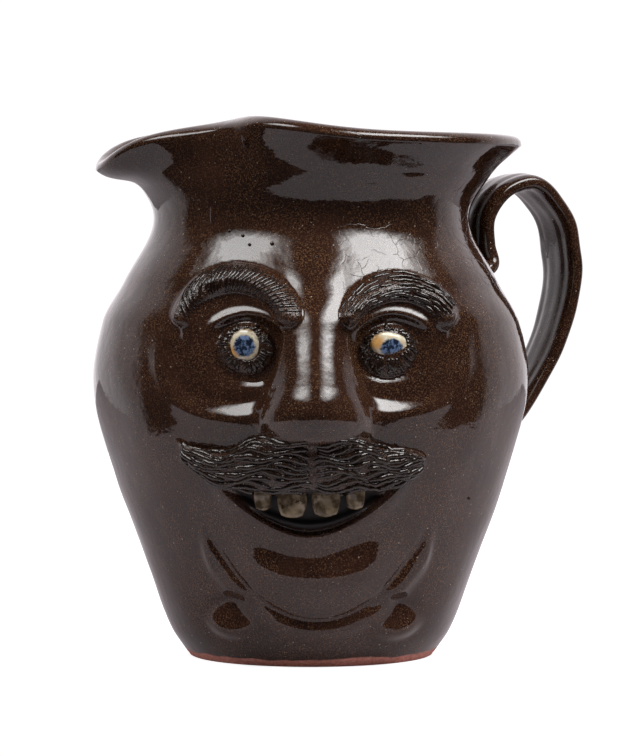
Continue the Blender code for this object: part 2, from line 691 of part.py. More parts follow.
def eye_chip(name, eye, grow, collection):
    """A lens of white clay pressed into the ball of the eye. Grow makes it larger all round."""
    clay = bmesh.new()
    bmesh.ops.create_uvsphere(clay, u_segments=EYE_CHIP_SEGMENTS, v_segments=EYE_CHIP_RINGS, radius=1.0)
    radius = EYE_CHIP_RADIUS + grow
    bmesh.ops.scale(clay, vec=Vector((radius, radius, EYE_CHIP_THICKNESS / 2 + grow)), verts=clay.verts)
    mesh = bpy.data.meshes.new(name)
    clay.to_mesh(mesh)
    clay.free()
    out, across = outward_at(*eye.chip)
    place = face_point(*eye.chip, lift=EYE_CHIP_PROUD - EYE_CHIP_THICKNESS / 2)
    return placed(name, mesh, frame_at(place, out, across), collection)


def tooth(name, index, grow, collection):
    """A rounded block of pale clay whose root is set up into the gum. Grow makes it larger all round."""
    x = TOOTH_PLACES[index]
    height = TOOTH_ROOT + TOOTH_DROPS[index]
    size = Vector((TOOTH_WIDTHS[index], height, TOOTH_THICKNESS)) + Vector((grow, grow, grow)) * 2
    clay = bmesh.new()
    bmesh.ops.create_cube(clay, size=1.0)
    bmesh.ops.scale(clay, vec=size, verts=clay.verts)
    bmesh.ops.bevel(clay, geom=clay.edges, offset=TOOTH_ROUNDING, segments=2, profile=0.5, affect="EDGES")
    mesh = bpy.data.meshes.new(name)
    clay.to_mesh(mesh)
    clay.free()
    z = MOUTH_TOP + TOOTH_ROOT - height / 2
    out, across = outward_at(x, z)
    radius = float(wall_radius(MOUTH_TOP)) + TOOTH_SETBACK + TOOTH_THICKNESS / 2
    place = Vector((out.x * radius, out.y * radius, z))
    return placed(name, mesh, frame_at(place, out, across), collection)


def seat_cutter(make, name, which, cutters):
    """The same inset, larger by its gap, as a cutter for its seat."""
    cutter = make(f"{name}_seat", which, SEAT_GAP, cutters)
    cutter.hide_render = True
    cutter.display_type = "WIRE"
    return cutter


def finish(pieces, material):
    """Gives pieces their material and their shading."""
    for obj in pieces:
        obj.data.materials.clear()
        obj.data.materials.append(material)
        obj.data.shade_smooth()
        obj.data.set_sharp_from_angle(angle=SHARP_ANGLE)


def glaze(name, colour, roughness):
    """A glazed clay."""
    material = bpy.data.materials.new(name)
    material.use_nodes = True
    shader = material.node_tree.nodes["Principled BSDF"]
    shader.inputs["Base Color"].default_value = (*colour, 1)
    shader.inputs["Roughness"].default_value = roughness
    shader.inputs["Metallic"].default_value = 0.0
    return material


def new_collection(name):
    """An empty collection in the scene."""
    collection = bpy.data.collections.new(name)
    bpy.context.scene.collection.children.link(collection)
    return collection


def main():
    """Throws the pot, joins the strap to it and sets the eyes and the teeth into their seats."""
    for obj in list(bpy.data.objects):
        bpy.data.objects.remove(obj)
    parts = new_collection("face_jug")
    cutters = new_collection("cutters")

    pot = throw_pot(parts)
    shape_pot(pot)
    pot = thin_out(pot, POT_TRIANGLES)
    strap = pull_handle(parts)
    jug = combine(pot, strap, "UNION")
    bpy.data.objects.remove(strap)
    jug.name = "jug"

    eyes = []
    for name, eye in (("left_eye", left_eye), ("right_eye", right_eye)):
        eyes.append(eye_chip(name, eye, 0.0, parts))
        jug = combine(jug, seat_cutter(eye_chip, name, eye, cutters), "DIFFERENCE")
    teeth = []
    for index in range(len(TOOTH_PLACES)):
        name = f"tooth_{index + 1}"
        teeth.append(tooth(name, index, 0.0, parts))
        jug = combine(jug, seat_cutter(tooth, name, index, cutters), "DIFFERENCE")

    finish([jug], glaze("brown_glaze", (0.035, 0.018, 0.010), 0.12))
    finish(eyes, glaze("white_glaze", (0.70, 0.66, 0.55), 0.15))
    finish(teeth, glaze("tooth_glaze", (0.28, 0.25, 0.17), 0.15))


main()
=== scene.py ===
# %% [markdown]
# # A glazed face pitcher
# A country potter throws a round-bellied pitcher on the wheel, pulls a spout and a strap handle, and then
# builds a face on the front from coils and pellets of clay. One dark, glossy glaze covers everything.
# This notebook makes its surfaces around the solid frame: the wall with its face as one fine mesh, the
# handle, the combed hair, and the pale eyes and teeth. The frame is loaded first, and at the end the
# surfaces are tied to its body in place of its solids. All lengths are in metres.

# %% Load the frame
import math

import bmesh
import bpy
import numpy as np
from mathutils import Matrix, Vector


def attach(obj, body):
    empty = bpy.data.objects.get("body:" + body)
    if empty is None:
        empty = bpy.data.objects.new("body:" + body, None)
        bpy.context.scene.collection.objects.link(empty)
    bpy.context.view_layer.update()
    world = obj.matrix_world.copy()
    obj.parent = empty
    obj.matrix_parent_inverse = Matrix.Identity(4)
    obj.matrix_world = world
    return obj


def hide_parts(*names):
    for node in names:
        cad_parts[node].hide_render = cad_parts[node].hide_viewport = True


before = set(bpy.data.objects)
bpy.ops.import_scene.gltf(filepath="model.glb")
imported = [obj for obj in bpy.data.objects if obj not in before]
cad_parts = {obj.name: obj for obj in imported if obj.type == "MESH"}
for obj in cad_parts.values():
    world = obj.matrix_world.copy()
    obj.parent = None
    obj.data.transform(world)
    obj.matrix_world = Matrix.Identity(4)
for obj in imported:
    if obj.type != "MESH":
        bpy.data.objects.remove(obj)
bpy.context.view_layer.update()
mm = 0.001

# %% [markdown]
# ## The camera
# A product photographer stands back with a long lens, so that the pot's outline is not stretched. A short
# lens close by would be easier to place, but the rim and the foot are seen as very flat ovals here, and
# only a camera far away shows them so. It stands a little above the brows and looks down by two degrees.

# %% Camera
CAMERA_DISTANCE = 1.670
CAMERA_HEIGHT = 0.190
CAMERA_ASIDE = 2.5 * mm
CAMERA_PITCH = math.radians(-2.16)
LENS = 172.9


def link(obj):
    """Puts an object into the scene."""
    bpy.context.scene.collection.objects.link(obj)
    return obj


camera = link(bpy.data.objects.new("camera", bpy.data.cameras.new("camera")))
camera.location = (CAMERA_ASIDE, -CAMERA_DISTANCE, CAMERA_HEIGHT)
camera.rotation_euler = (math.pi / 2 + CAMERA_PITCH, 0, 0)
camera.data.lens = LENS
camera.data.clip_end = 20
bpy.context.scene.camera = camera
print("Camera stands", CAMERA_DISTANCE, "m away")

# %% [markdown]
# ## Wiring node trees
# Every finish here is a tree of nodes: small boxes that each work out one thing and are joined by links.
# They could be placed and joined by hand in the node editor, but then nobody could read the recipe as
# text. So one class makes a node, fills its inputs and gives back its output, and a tree then reads almost
# like a formula. The same class serves the room's light, the glazes and the comb.

# %% Node helpers
class Wiring:
    """Makes and joins nodes in one tree. An input takes a plain value or another node's output."""

    def __init__(self, tree):
        self.tree = tree

    def fill(self, node, inputs):
        """Gives inputs, by name or number, a plain value or a link."""
        for where, value in inputs.items():
            if isinstance(value, bpy.types.NodeSocket):
                self.tree.links.new(value, node.inputs[where])
            else:
                node.inputs[where].default_value = value

    def make(self, kind, inputs=None, **settings):
        """A new node with its settings and inputs."""
        node = self.tree.nodes.new(kind)
        for key, value in settings.items():
            setattr(node, key, value)
        self.fill(node, inputs or {})
        return node

    def math(self, operation, *values):
        return self.make("ShaderNodeMath", dict(enumerate(values)), operation=operation).outputs[0]

    def vector(self, operation, *values):
        node = self.make("ShaderNodeVectorMath", dict(enumerate(values)), operation=operation)
        return node.outputs["Value" if operation == "LENGTH" else "Vector"]

    def scale(self, vector, by):
        return self.make("ShaderNodeVectorMath", {0: vector, "Scale": by}, operation="SCALE").outputs[0]

    def split(self, vector):
        return self.make("ShaderNodeSeparateXYZ", {0: vector}).outputs

    def noise(self, vector, scale, detail=2.0, rough=0.5):
        inputs = {"Vector": vector, "Scale": scale, "Detail": detail, "Roughness": rough}
        return self.make("ShaderNodeTexNoise", inputs).outputs["Fac"]

    def cells(self, vector, scale, feature="F1"):
        """Irregular cells: how far their middle or their border is, and a colour drawn for each."""
        return self.make("ShaderNodeTexVoronoi", {"Vector": vector, "Scale": scale}, feature=feature).outputs

    def step(self, value, low, high, start=0.0, end=1.0, kind="SMOOTHSTEP"):
        """From start to end, soft or straight, as the value goes from low to high."""
        inputs = {"Value": value, "From Min": low, "From Max": high, "To Min": start, "To Max": end}
        return self.make("ShaderNodeMapRange", inputs, interpolation_type=kind).outputs["Result"]

    def blend(self, share, a, b):
        """Colour a where the share is 0 and b where it is 1."""
        return self.make("ShaderNodeMix", {0: share, 6: a, 7: b}, data_type="RGBA").outputs[2]

    def bump(self, height):
        """The normal of a skin that is that many metres high."""
        inputs = {"Strength": 1.0, "Distance": 1.0, "Height": height}
        return self.make("ShaderNodeBump", inputs).outputs["Normal"]


def new_material(name):
    """A material with nodes, the wiring of its tree and its one shader."""
    material = bpy.data.materials.new(name)
    material.use_nodes = True
    return material, Wiring(material.node_tree), material.node_tree.nodes["Principled BSDF"]


print("Node helpers ready")

# %% [markdown]
# ## The table
# The pot stands on a sheet of white paper. A glossy dark pot looks like what it mirrors, and the paper is
# the grey sheen low on the belly, so its front edge decides where the cheeks turn from brown to grey. A
# plain rectangle would give a hard upright border there. A sheet with a round front, half an oval, gives
# the soft curve of the photograph. The camera sees the paper lifted to the picture's white.

# %% Table
TABLE_FRONT = 0.275
TABLE_HALF_WIDTH = 0.345
TABLE_BACK = 1.60
TABLE_BACK_HALF_WIDTH = 1.20
TABLE_CORNERS = 48
TABLE_WHITE = (0.56, 0.515, 0.54, 1)
TABLE_ROUGHNESS = 0.6
TABLE_LIFT = 0.80


def make_table():
    """A white sheet with a round front."""
    mesh = bpy.data.meshes.new("table")
    corners = [(TABLE_BACK_HALF_WIDTH, TABLE_BACK, 0), (-TABLE_BACK_HALF_WIDTH, TABLE_BACK, 0)]
    for corner in range(TABLE_CORNERS + 1):
        turn = math.pi * (1 + corner / TABLE_CORNERS)
        corners.append((TABLE_HALF_WIDTH * math.cos(turn), TABLE_FRONT * math.sin(turn), 0))
    mesh.from_pydata(corners, [], [tuple(range(len(corners)))])
    white, wires, shader = new_material("white_table")
    seen = wires.make("ShaderNodeLightPath").outputs["Is Camera Ray"]
    wires.fill(
        shader,
        {
            "Base Color": TABLE_WHITE,
            "Roughness": TABLE_ROUGHNESS,
            "Emission Color": (1, 1, 1, 1),
            "Emission Strength": wires.math("MULTIPLY", seen, TABLE_LIFT),
        },
    )
    mesh.materials.append(white)
    link(bpy.data.objects.new("table", mesh))


make_table()
print("The table's round front reaches", TABLE_FRONT, "m ahead of the pot's axis")

# %% [markdown]
# ## The soft lights
# Two large soft lamps stand high on both sides and give the pale patches on the brows, the nose and the
# shoulders. One even lamp would be mirrored as a flat white spot with a sharp edge. Real soft boxes are
# brightest in the middle, so each is a stack of ovals, one before the other and each smaller. Area lamps
# do not hide each other from the pot, so their light adds up towards the middle.

# %% Soft lights
LAMP_DISTANCE = 1.26
LAMP_AIM = Vector((0, 0, 0.14))
RING_SHRINK = 0.62
RING_STEP = 0.01


def soft_light(name, azimuth, elevation, distance, width, height, radiance):
    """An oval lamp that faces the pot's middle. Azimuth 0 is in front and rises to the right."""
    light = bpy.data.lights.new(name, "AREA")
    light.shape = "ELLIPSE"
    light.size = width
    light.size_y = height
    light.energy = radiance * math.pi * math.pi / 4 * width * height
    lamp = link(bpy.data.objects.new(name, light))
    side, up = math.radians(azimuth), math.radians(elevation)
    towards = Vector((math.sin(side) * math.cos(up), -math.cos(side) * math.cos(up), math.sin(up)))
    lamp.location = LAMP_AIM + towards * distance
    lamp.rotation_mode = "QUATERNION"
    lamp.rotation_quaternion = towards.to_track_quat("Z", "Y")


def soft_box(name, azimuth, elevation, width, height, radiances):
    """A lamp that fades towards its edge. Each radiance is what one more oval adds."""
    for ring, radiance in enumerate(radiances):
        share = 1 - RING_SHRINK * ring / len(radiances)
        distance = LAMP_DISTANCE - RING_STEP * ring
        soft_light(f"{name}_{ring}", azimuth, elevation, distance, width * share, height * share, radiance)


soft_box("left_lamp", -55, 49, 1.26, 0.80, (0.5, 0.9, 1.5, 2.4, 3.2))
soft_box("right_lamp", 58, 50, 1.34, 0.88, (0.6, 1.3, 2.6, 4.0, 4.6))
print("Two soft lamps, each brightest in its middle")

# %% [markdown]
# ## The room
# The room in front of the pot is dark, which keeps the face brown. White walls run from both sides to the
# back, and the pot's sides mirror them as pale grey. Modelled walls would do the same at a greater cost.
# Since only the direction matters, the world itself is shaded by it: dark ahead, white from the sides
# backwards, and brightest behind. The camera sees the picture's white there.

# %% World
DARK_ROOM = 0.05
WHITE_WALL = 0.68
BACK_WALL = 1.25
WALL_TINT = (1.0, 0.94, 0.98, 1)
SIDE_WALLS_FROM = (0.17, 0.34)
BACK_WALL_FROM = (0.40, 0.95)
SEEN_WHITE = 1.05


def make_world():
    """Light by direction, where y is -1 towards the camera and 1 behind the pot."""
    world = bpy.data.worlds.new("studio")
    bpy.context.scene.world = world
    world.use_nodes = True
    world.node_tree.nodes.clear()
    wires = Wiring(world.node_tree)
    y = wires.split(wires.make("ShaderNodeTexCoord").outputs["Generated"])["Y"]
    walls = wires.math(
        "ADD",
        wires.step(y, *SIDE_WALLS_FROM, DARK_ROOM, WHITE_WALL),
        wires.step(y, *BACK_WALL_FROM, 0.0, BACK_WALL - WHITE_WALL, "LINEAR"),
    )
    around = wires.make("ShaderNodeBackground", {"Color": WALL_TINT, "Strength": walls})
    seen = wires.make("ShaderNodeBackground", {"Color": (1, 1, 1, 1), "Strength": SEEN_WHITE})
    camera_ray = wires.make("ShaderNodeLightPath").outputs["Is Camera Ray"]
    mix = wires.make("ShaderNodeMixShader", {0: camera_ray, 1: around.outputs[0], 2: seen.outputs[0]})
    wires.make("ShaderNodeOutputWorld", {"Surface": mix.outputs[0]})


make_world()
bpy.context.scene.view_settings.view_transform = "Standard"
print("White walls to the sides and back at", WHITE_WALL)

# %% [markdown]
# ## Curves through a few stations
# A potter's profile has a handful of places that matter, and the clay runs smoothly between them. A cubic
# through those stations that never overshoots keeps the belly and neck where they are measured. Bezier
# handles would need hand-tuning for each station. The small helpers after it are soft steps, a soft bump
# and a gentle unevenness, from which every form of the face is made.

# %% Smooth helpers
def through(knots, values, tangents, at):
    """A cubic curve through (knots, values) with those tangents, read at every number in at."""
    i = np.clip(np.searchsorted(knots, at, side="right") - 1, 0, len(knots) - 2)
    step = knots[i + 1] - knots[i]
    t = (at - knots[i]) / step
    return (
        values[i] * (1 + 2 * t) * (1 - t) ** 2
        + values[i + 1] * t**2 * (3 - 2 * t)
        + tangents[i] * step * t * (1 - t) ** 2
        + tangents[i + 1] * step * t**2 * (t - 1)
    )


def smooth_through(knots, values, at):
    """A curve through (knots, values) that never overshoots them."""
    knots = np.asarray(knots, float)
    values = np.asarray(values, float)
    slopes = np.diff(values) / np.diff(knots)
    tangents = np.concatenate([[slopes[0]], np.zeros(len(slopes) - 1), [slopes[-1]]])
    for i in range(1, len(slopes)):
        if slopes[i - 1] * slopes[i] > 0:
            tangents[i] = 2 * slopes[i - 1] * slopes[i] / (slopes[i - 1] + slopes[i])
    return through(knots, values, tangents, np.clip(np.asarray(at, float), knots[0], knots[-1]))


def ease(t):
    """0 below 0, 1 above 1, and smooth between."""
    t = np.clip(t, 0, 1)
    return t * t * (3 - 2 * t)


def bell(distance, spread):
    """1 at no distance, falling smoothly away."""
    return np.exp(-((distance / spread) ** 2))


def ramp(t):
    """0 below 0, 1 above 1, and straight between, with a little rounding at both ends."""
    soft = 0.10
    return soft * (np.logaddexp(0, t / soft) - np.logaddexp(0, (t - 1) / soft))


def uneven(points, size, depth, seed, waves=9):
    """A gentle unevenness over points in space, as a sum of plane waves about size long."""
    dice = np.random.default_rng(seed)
    total = np.zeros(len(points))
    for _ in range(waves):
        way = dice.normal(size=3)
        way = way / np.linalg.norm(way) * 2 * math.pi / (size * dice.uniform(0.7, 1.5))
        total += np.sin(points @ way + dice.uniform(0, 2 * math.pi))
    return total * depth / math.sqrt(waves)


print("Halfway along, a soft step has climbed to", float(ease(0.5)))

# %% [markdown]
# ## The thrown wall
# The outer wall is one profile turned about the wheel's axis. Its stations are the foot, the heel, the
# belly, the shoulder, the neck and the flared rim, and they are those of the solid in the frame. Tracing
# the outline point by point would follow it more closely, but each small wobble would become a ring.

# %% The wall's profile
FOOT_RADIUS = 55.8 * mm
BELLY_RADIUS = 100.0 * mm
BELLY_HEIGHT = 128.0 * mm
NECK_RADIUS = 72.6 * mm
NECK_HEIGHT = 201.0 * mm
RIM_RADIUS = 96.4 * mm
RIM_HEIGHT = 233.5 * mm
WALL = 6.5 * mm
FLOOR = 9.0 * mm
WALL_STATIONS = [
    (FOOT_RADIUS, 0.0),
    (64.5 * mm, 13.0 * mm),
    (75.7 * mm, 43.0 * mm),
    (88.8 * mm, 80.0 * mm),
    (BELLY_RADIUS, BELLY_HEIGHT),
    (95.7 * mm, 153.6 * mm),
    (86.0 * mm, 172.0 * mm),
    (NECK_RADIUS, NECK_HEIGHT),
    (82.0 * mm, 220.0 * mm),
    (RIM_RADIUS, RIM_HEIGHT),
]


def wall_radius(z):
    """Radius of the plain turned wall at height z."""
    radii, heights = zip(*WALL_STATIONS)
    return smooth_through(heights, radii, z)


print("Belly is", round(2 * float(wall_radius(BELLY_HEIGHT)), 4), "m across")

# %% [markdown]
# ## The spout
# While the clay is soft, the potter pinches the rim with two fingers and draws it out and down with a
# third. Here the same push is a formula over the angle from the spout: out and down at the tip, and a soft
# lift of the rim on both sides, where the clay was stretched.

# %% Pulling the spout
SPOUT_TURN = math.radians(-80)
SPOUT_START_HEIGHT = 213.0 * mm
SPOUT_DROP = 11.5 * mm
SPOUT_DROP_SPREAD = math.radians(18)
SPOUT_REACH = 2.8 * mm
SPOUT_REACH_SPREAD = math.radians(17)
SPOUT_PINCH = 21.0 * mm
SPOUT_PINCH_START = 203.0 * mm
SPOUT_PINCH_TURN = math.radians(47)
SPOUT_PINCH_SPREAD = math.radians(20)
FRONT_PINCH = 2.0 * mm
FRONT_PINCH_TURN = math.radians(18)
FRONT_PINCH_SPREAD = math.radians(32)
RIM_RISE = 7.2 * mm
RIM_RISE_TURN = math.radians(58)
RIM_RISE_SPREAD = math.radians(27)


def pull_of_spout(turn, z):
    """(outward, upward) shift of the clay at an angle and height."""
    beside = (turn - SPOUT_TURN + math.pi) % (2 * math.pi) - math.pi
    away = np.abs(beside)
    grip = ease((z - SPOUT_START_HEIGHT) / (RIM_HEIGHT - SPOUT_START_HEIGHT))
    squeeze = np.clip((z - SPOUT_PINCH_START) / (RIM_HEIGHT - SPOUT_PINCH_START), 0, 1.15) ** 2
    out = grip * SPOUT_REACH * bell(away, SPOUT_REACH_SPREAD)
    out = out - squeeze * SPOUT_PINCH * bell(away - SPOUT_PINCH_TURN, SPOUT_PINCH_SPREAD)
    out = out - squeeze * FRONT_PINCH * bell(turn - FRONT_PINCH_TURN, FRONT_PINCH_SPREAD)
    up = RIM_RISE * bell(away - RIM_RISE_TURN, RIM_RISE_SPREAD)
    up = up - SPOUT_DROP * bell(away, SPOUT_DROP_SPREAD)
    return out, grip * up


print("The spout's tip sinks by", SPOUT_DROP, "m")

# %% [markdown]
# ## The face, form by form
# The face is a height over the wall: at each place (x, z) on the front, every coil and pellet says how far
# it stands out. A formula for each form keeps it a few lines long and easy to move. Sculpting by hand would
# give the same surface but could not be read or changed. Most forms lie round the eyes, so the eyes' places
# and sizes come first. The two eyes of the pot differ, and each has its own.

# %% The two eyes
FACE_LIFT = 6.0 * mm
LEFT, RIGHT = -1, 1


def outside_oval(x, z, centre, half_width, up, down, power):
    """Distance outwards from an oval whose upper and lower halves differ, below 0 inside it."""
    across = np.abs(x - centre[0])
    rise = z - centre[1]
    half_height = np.where(rise > 0, up, down)
    size = ((across / half_width) ** power + (np.abs(rise) / half_height) ** power) ** (1 / power)
    return np.hypot(across, rise) * (1 - 1 / np.maximum(size, 0.05))


class Eye:
    """The places and sizes that differ between the two eyes."""

    def __init__(self, side, chip, lids, lid_size, bag, bag_size, brow, brow_size, brow_span):
        self.side = side
        self.chip = chip
        self.lids = lids
        self.lid_size = lid_size
        self.bag = bag
        self.bag_size = bag_size
        self.brow = brow
        self.brow_size = brow_size
        self.brow_span = brow_span


left_eye = Eye(
    side=LEFT,
    chip=(-31.2 * mm, 144.7 * mm),
    lids=(-30.1 * mm, 149.3 * mm),
    lid_size=(17.8 * mm, 9.7 * mm, 23.4 * mm),
    bag=(-38.2 * mm, 141.0 * mm),
    bag_size=(29.0 * mm, 21.0 * mm, 24.6 * mm),
    brow=(-34.3 * mm, 150.0 * mm),
    brow_size=(26.0 * mm, 24.0 * mm),
    brow_span=(math.radians(163), math.radians(22)),
)
right_eye = Eye(
    side=RIGHT,
    chip=(36.9 * mm, 145.1 * mm),
    lids=(38.4 * mm, 149.2 * mm),
    lid_size=(17.6 * mm, 9.7 * mm, 21.4 * mm),
    bag=(41.0 * mm, 141.5 * mm),
    bag_size=(27.5 * mm, 20.0 * mm, 23.4 * mm),
    brow=(39.8 * mm, 147.5 * mm),
    brow_size=(24.8 * mm, 23.0 * mm),
    brow_span=(math.radians(26), math.radians(154)),
)


print("The eyes stand", round(right_eye.chip[0] - left_eye.chip[0], 4), "m apart")

# %% [markdown]
# ## Sockets and bags
# A thumb pressed round each eye leaves a hollow with a soft lip on its outer side, the bag under the eye.
# It could be a ring-shaped dent in a mesh. As a distance from an oval it needs no mesh at all: the hollow
# is a soft step across the oval's edge, deepest below the eye and shallower to the outside.

# %% Sockets
SOCKET_DEPTH = 5.4 * mm
SOCKET_WIDTH = 6.8 * mm
SOCKET_POWER = 2.5
SOCKET_FADE = (-8.0 * mm, 26.0 * mm)
SOCKET_LIP_RISE = 0.9 * mm
SOCKET_LIP_WIDTH = 3.5 * mm


def socket_form(x, z, eye):
    """The hollow that the potter's thumb presses round an eye, with a soft lip on its outer side."""
    away = outside_oval(x, z, eye.bag, *eye.bag_size, SOCKET_POWER)
    lower = ease((eye.bag[1] + 0.7 * SOCKET_FADE[1] - z) / SOCKET_FADE[1])
    outer = ease((eye.side * (x - eye.bag[0]) - SOCKET_FADE[0]) / SOCKET_FADE[1])
    deep = SOCKET_DEPTH * (0.25 + 0.75 * lower) * (1 - 0.6 * outer)
    hollow = deep * (1 - ramp((away + SOCKET_WIDTH / 2) / SOCKET_WIDTH))
    lip = SOCKET_LIP_RISE * bell(away - SOCKET_LIP_WIDTH, SOCKET_LIP_WIDTH) * lower * outer
    return lip - hollow


print("The sockets are pressed in by", SOCKET_DEPTH, "m")

# %% [markdown]
# ## Balls and lids
# The potter sets a ball of clay into the socket and lays a thin coil over it for the upper lid. The lower
# lid is only the step where the bag ends. Two separate coils would need a join at the corners. So both
# lids follow one oval that reaches further down than up, the upper half as a rolled ridge and the lower
# half as a step, and the ball is a dome inside it.

# %% Balls and lids
BALL_SHIFT = {LEFT: (0.2 * mm, -1.9 * mm), RIGHT: (0.8 * mm, -3.0 * mm)}
BALL_SIZE = (14.0 * mm, 11.5 * mm)
BALL_RISE = 5.2 * mm
LID_DEPTH = 2.7 * mm
LID_WIDTH = 4.6 * mm
LID_CREST = 1.3 * mm
LID_SLOPE_WIDTH = 3.0 * mm
LID_POWERS = (1.75, 2.6)


def ball_place(x, z, eye):
    """Distance from the middle of the eye's ball, 1 at its edge."""
    across = x - eye.chip[0] - BALL_SHIFT[eye.side][0]
    rise = z - eye.chip[1] - BALL_SHIFT[eye.side][1]
    return np.hypot(across / BALL_SIZE[0], rise / BALL_SIZE[1])


def lid_form(x, z, eye):
    """The lower lid is a step up to the socket, the upper lid a rolled ridge, and the ball sits inside."""
    power = np.where(z > eye.lids[1], *LID_POWERS)
    away = outside_oval(x, z, eye.lids, *eye.lid_size, power)
    upper = ease((z - eye.lids[1] + LID_WIDTH) / (2 * LID_WIDTH))
    step = -LID_DEPTH * (1 - ramp((away + LID_WIDTH) / LID_WIDTH))
    inner_side = bell(away, 0.3 * LID_WIDTH)
    roll = LID_CREST * np.where(away > 0, 1 - ramp(away / LID_SLOPE_WIDTH), inner_side)
    inside = ease(-away / (0.4 * LID_WIDTH))
    dome = BALL_RISE * np.sqrt(np.clip(1 - ball_place(x, z, eye) ** 2, 0, 1))
    return step + roll * upper + inside * dome


print("The balls of the eyes stand out by", BALL_RISE, "m")

# %% [markdown]
# ## Brows
# A thick coil is bent into an arch over each eye and pressed on, over a broad swelling that stands for the
# bone. The arch is a piece of an oval, so a place near it is known by its share along the arch and its
# distance from it. Both forms and the comb's strokes use that, which a swept curve would not offer.

# %% Brows
BONE_RISE = 4.4 * mm
BONE_WIDTH = 12.5 * mm
BONE_TOP_WIDTH = 6.0 * mm
BROW_HALF_THICKNESS = 6.5 * mm
BROW_RISE = 4.0 * mm


def brow_line(eye, share):
    """The brow's middle line, from its outer end at 0 to its inner end at 1, as (x, z)."""
    start, end = eye.brow_span
    turn = start + (end - start) * share
    return eye.brow[0] + eye.brow_size[0] * np.cos(turn), eye.brow[1] + eye.brow_size[1] * np.sin(turn)


def brow_place(x, z, eye):
    """(share along the brow, distance from its middle line) of a place near it."""
    turn = np.arctan2((z - eye.brow[1]) / eye.brow_size[1], (x - eye.brow[0]) / eye.brow_size[0])
    turn = np.where(turn < -math.pi / 2, turn + 2 * math.pi, turn)
    start, end = eye.brow_span
    share = np.clip((turn - start) / (end - start), 0, 1)
    px, pz = brow_line(eye, share)
    return share, np.hypot(x - px, z - pz)


def bone_form(x, z, eye):
    """The bone under a brow, which carries the upper lid forward."""
    _, away = brow_place(x, z, eye)
    size = np.hypot((x - eye.brow[0]) / eye.brow_size[0], (z - eye.brow[1]) / eye.brow_size[1])
    return BONE_RISE * (1 - ramp(away / np.where(size < 1, BONE_WIDTH, BONE_TOP_WIDTH)))


def brow_form(x, z, eye):
    """A thick coil of clay arched over one eye, thinner at its outer end."""
    share, away = brow_place(x, z, eye)
    outer = share if eye.side == LEFT else 1 - share
    half = BROW_HALF_THICKNESS * (0.72 + 0.28 * ease(outer / 0.35))
    return BROW_RISE * (0.8 + 0.2 * outer) * np.clip(1 - (away / half) ** 2.6, 0, 1) ** 0.75


print("The brows stand out by", BROW_RISE + BONE_RISE, "m")

# %% [markdown]
# ## The nose
# The nose is one long pellet, thin at the brow and broad at the wings, pinched to slope back underneath.
# Its height and half width at fourteen levels say all of it, and its section is one rounded curve. A loft
# would need its own mesh and a seam where it meets the cheeks.

# %% Nose
NOSE_X = 2.2 * mm
NOSE_HEIGHTS = np.array([99, 101, 103.5, 108, 112, 115, 120, 128, 140, 152, 162, 171, 180, 190]) * mm
NOSE_RISES = np.array([0, 5.5, 14.0, 17.0, 19.3, 19.6, 17.8, 13.5, 8.9, 5.5, 3.6, 2.0, 0.7, 0]) * mm
NOSE_HALVES = np.array([23, 24, 25, 26, 26, 25.5, 24, 21, 17.5, 15, 13.5, 13, 14, 15]) * mm
NOSE_POWER = 1.85
NOSE_FILLET = 0.03
NOSE_TIP_HEIGHT = 112.0 * mm


def nose_form(x, z):
    """A long rounded bridge that widens into the wings, over a base that slopes back."""
    rise = smooth_through(NOSE_HEIGHTS, NOSE_RISES, z)
    half = smooth_through(NOSE_HEIGHTS, NOSE_HALVES, z)
    away = np.abs(x - NOSE_X) / half
    section = 1 - away**NOSE_POWER
    section = (section + np.sqrt(section**2 + NOSE_FILLET)) / 2
    section = section * (1 - ease((away - 1.0) / 0.5))
    return rise * section * (z > NOSE_HEIGHTS[0]) * (z < NOSE_HEIGHTS[-1])


tip = nose_form(np.array([NOSE_X]), np.array([NOSE_TIP_HEIGHT]))
print("The nose itself is", round(float(tip[0]), 4), "m high at its tip")

# %% [markdown]
# ## The mustache
# Two fat coils run from a notch under the nose to two tips, and the left tip turns up more than the right.
# Each side is given by its upper and lower edge and its thickness at a few shares of the way. Bent tubes
# would be quicker to draw, but they could not keep the flat, cushion-like top that the comb needs.

# %% Mustache
MUSTACHE_NOTCH_X = 1.0 * mm
MUSTACHE_REACH = {LEFT: 62.0 * mm, RIGHT: 52.0 * mm}
MUSTACHE_SHARES = [0.0, 0.13, 0.36, 0.66, 0.90, 1.0]
MUSTACHE_TOPS = {
    LEFT: np.array([103.5, 104.5, 105.2, 98.2, 99.0, 103.0]) * mm,
    RIGHT: np.array([103.5, 104.0, 105.0, 99.8, 98.2, 95.5]) * mm,
}
MUSTACHE_BASES = {
    LEFT: np.array([79.0, 78.9, 79.2, 82.0, 91.0, 99.5]) * mm,
    RIGHT: np.array([79.0, 79.2, 79.8, 82.0, 87.0, 91.0]) * mm,
}
MUSTACHE_THICKNESS = np.array([0.86, 1.0, 1.0, 0.8, 0.55, 0.25])
MUSTACHE_RISE = 10.0 * mm


def mustache_edges(side, share):
    """(lower edge, upper edge, share of full thickness) at a share of the way to one tip."""
    base = smooth_through(MUSTACHE_SHARES, MUSTACHE_BASES[side], share)
    top = smooth_through(MUSTACHE_SHARES, MUSTACHE_TOPS[side], share)
    return base, top, smooth_through(MUSTACHE_SHARES, MUSTACHE_THICKNESS, share)


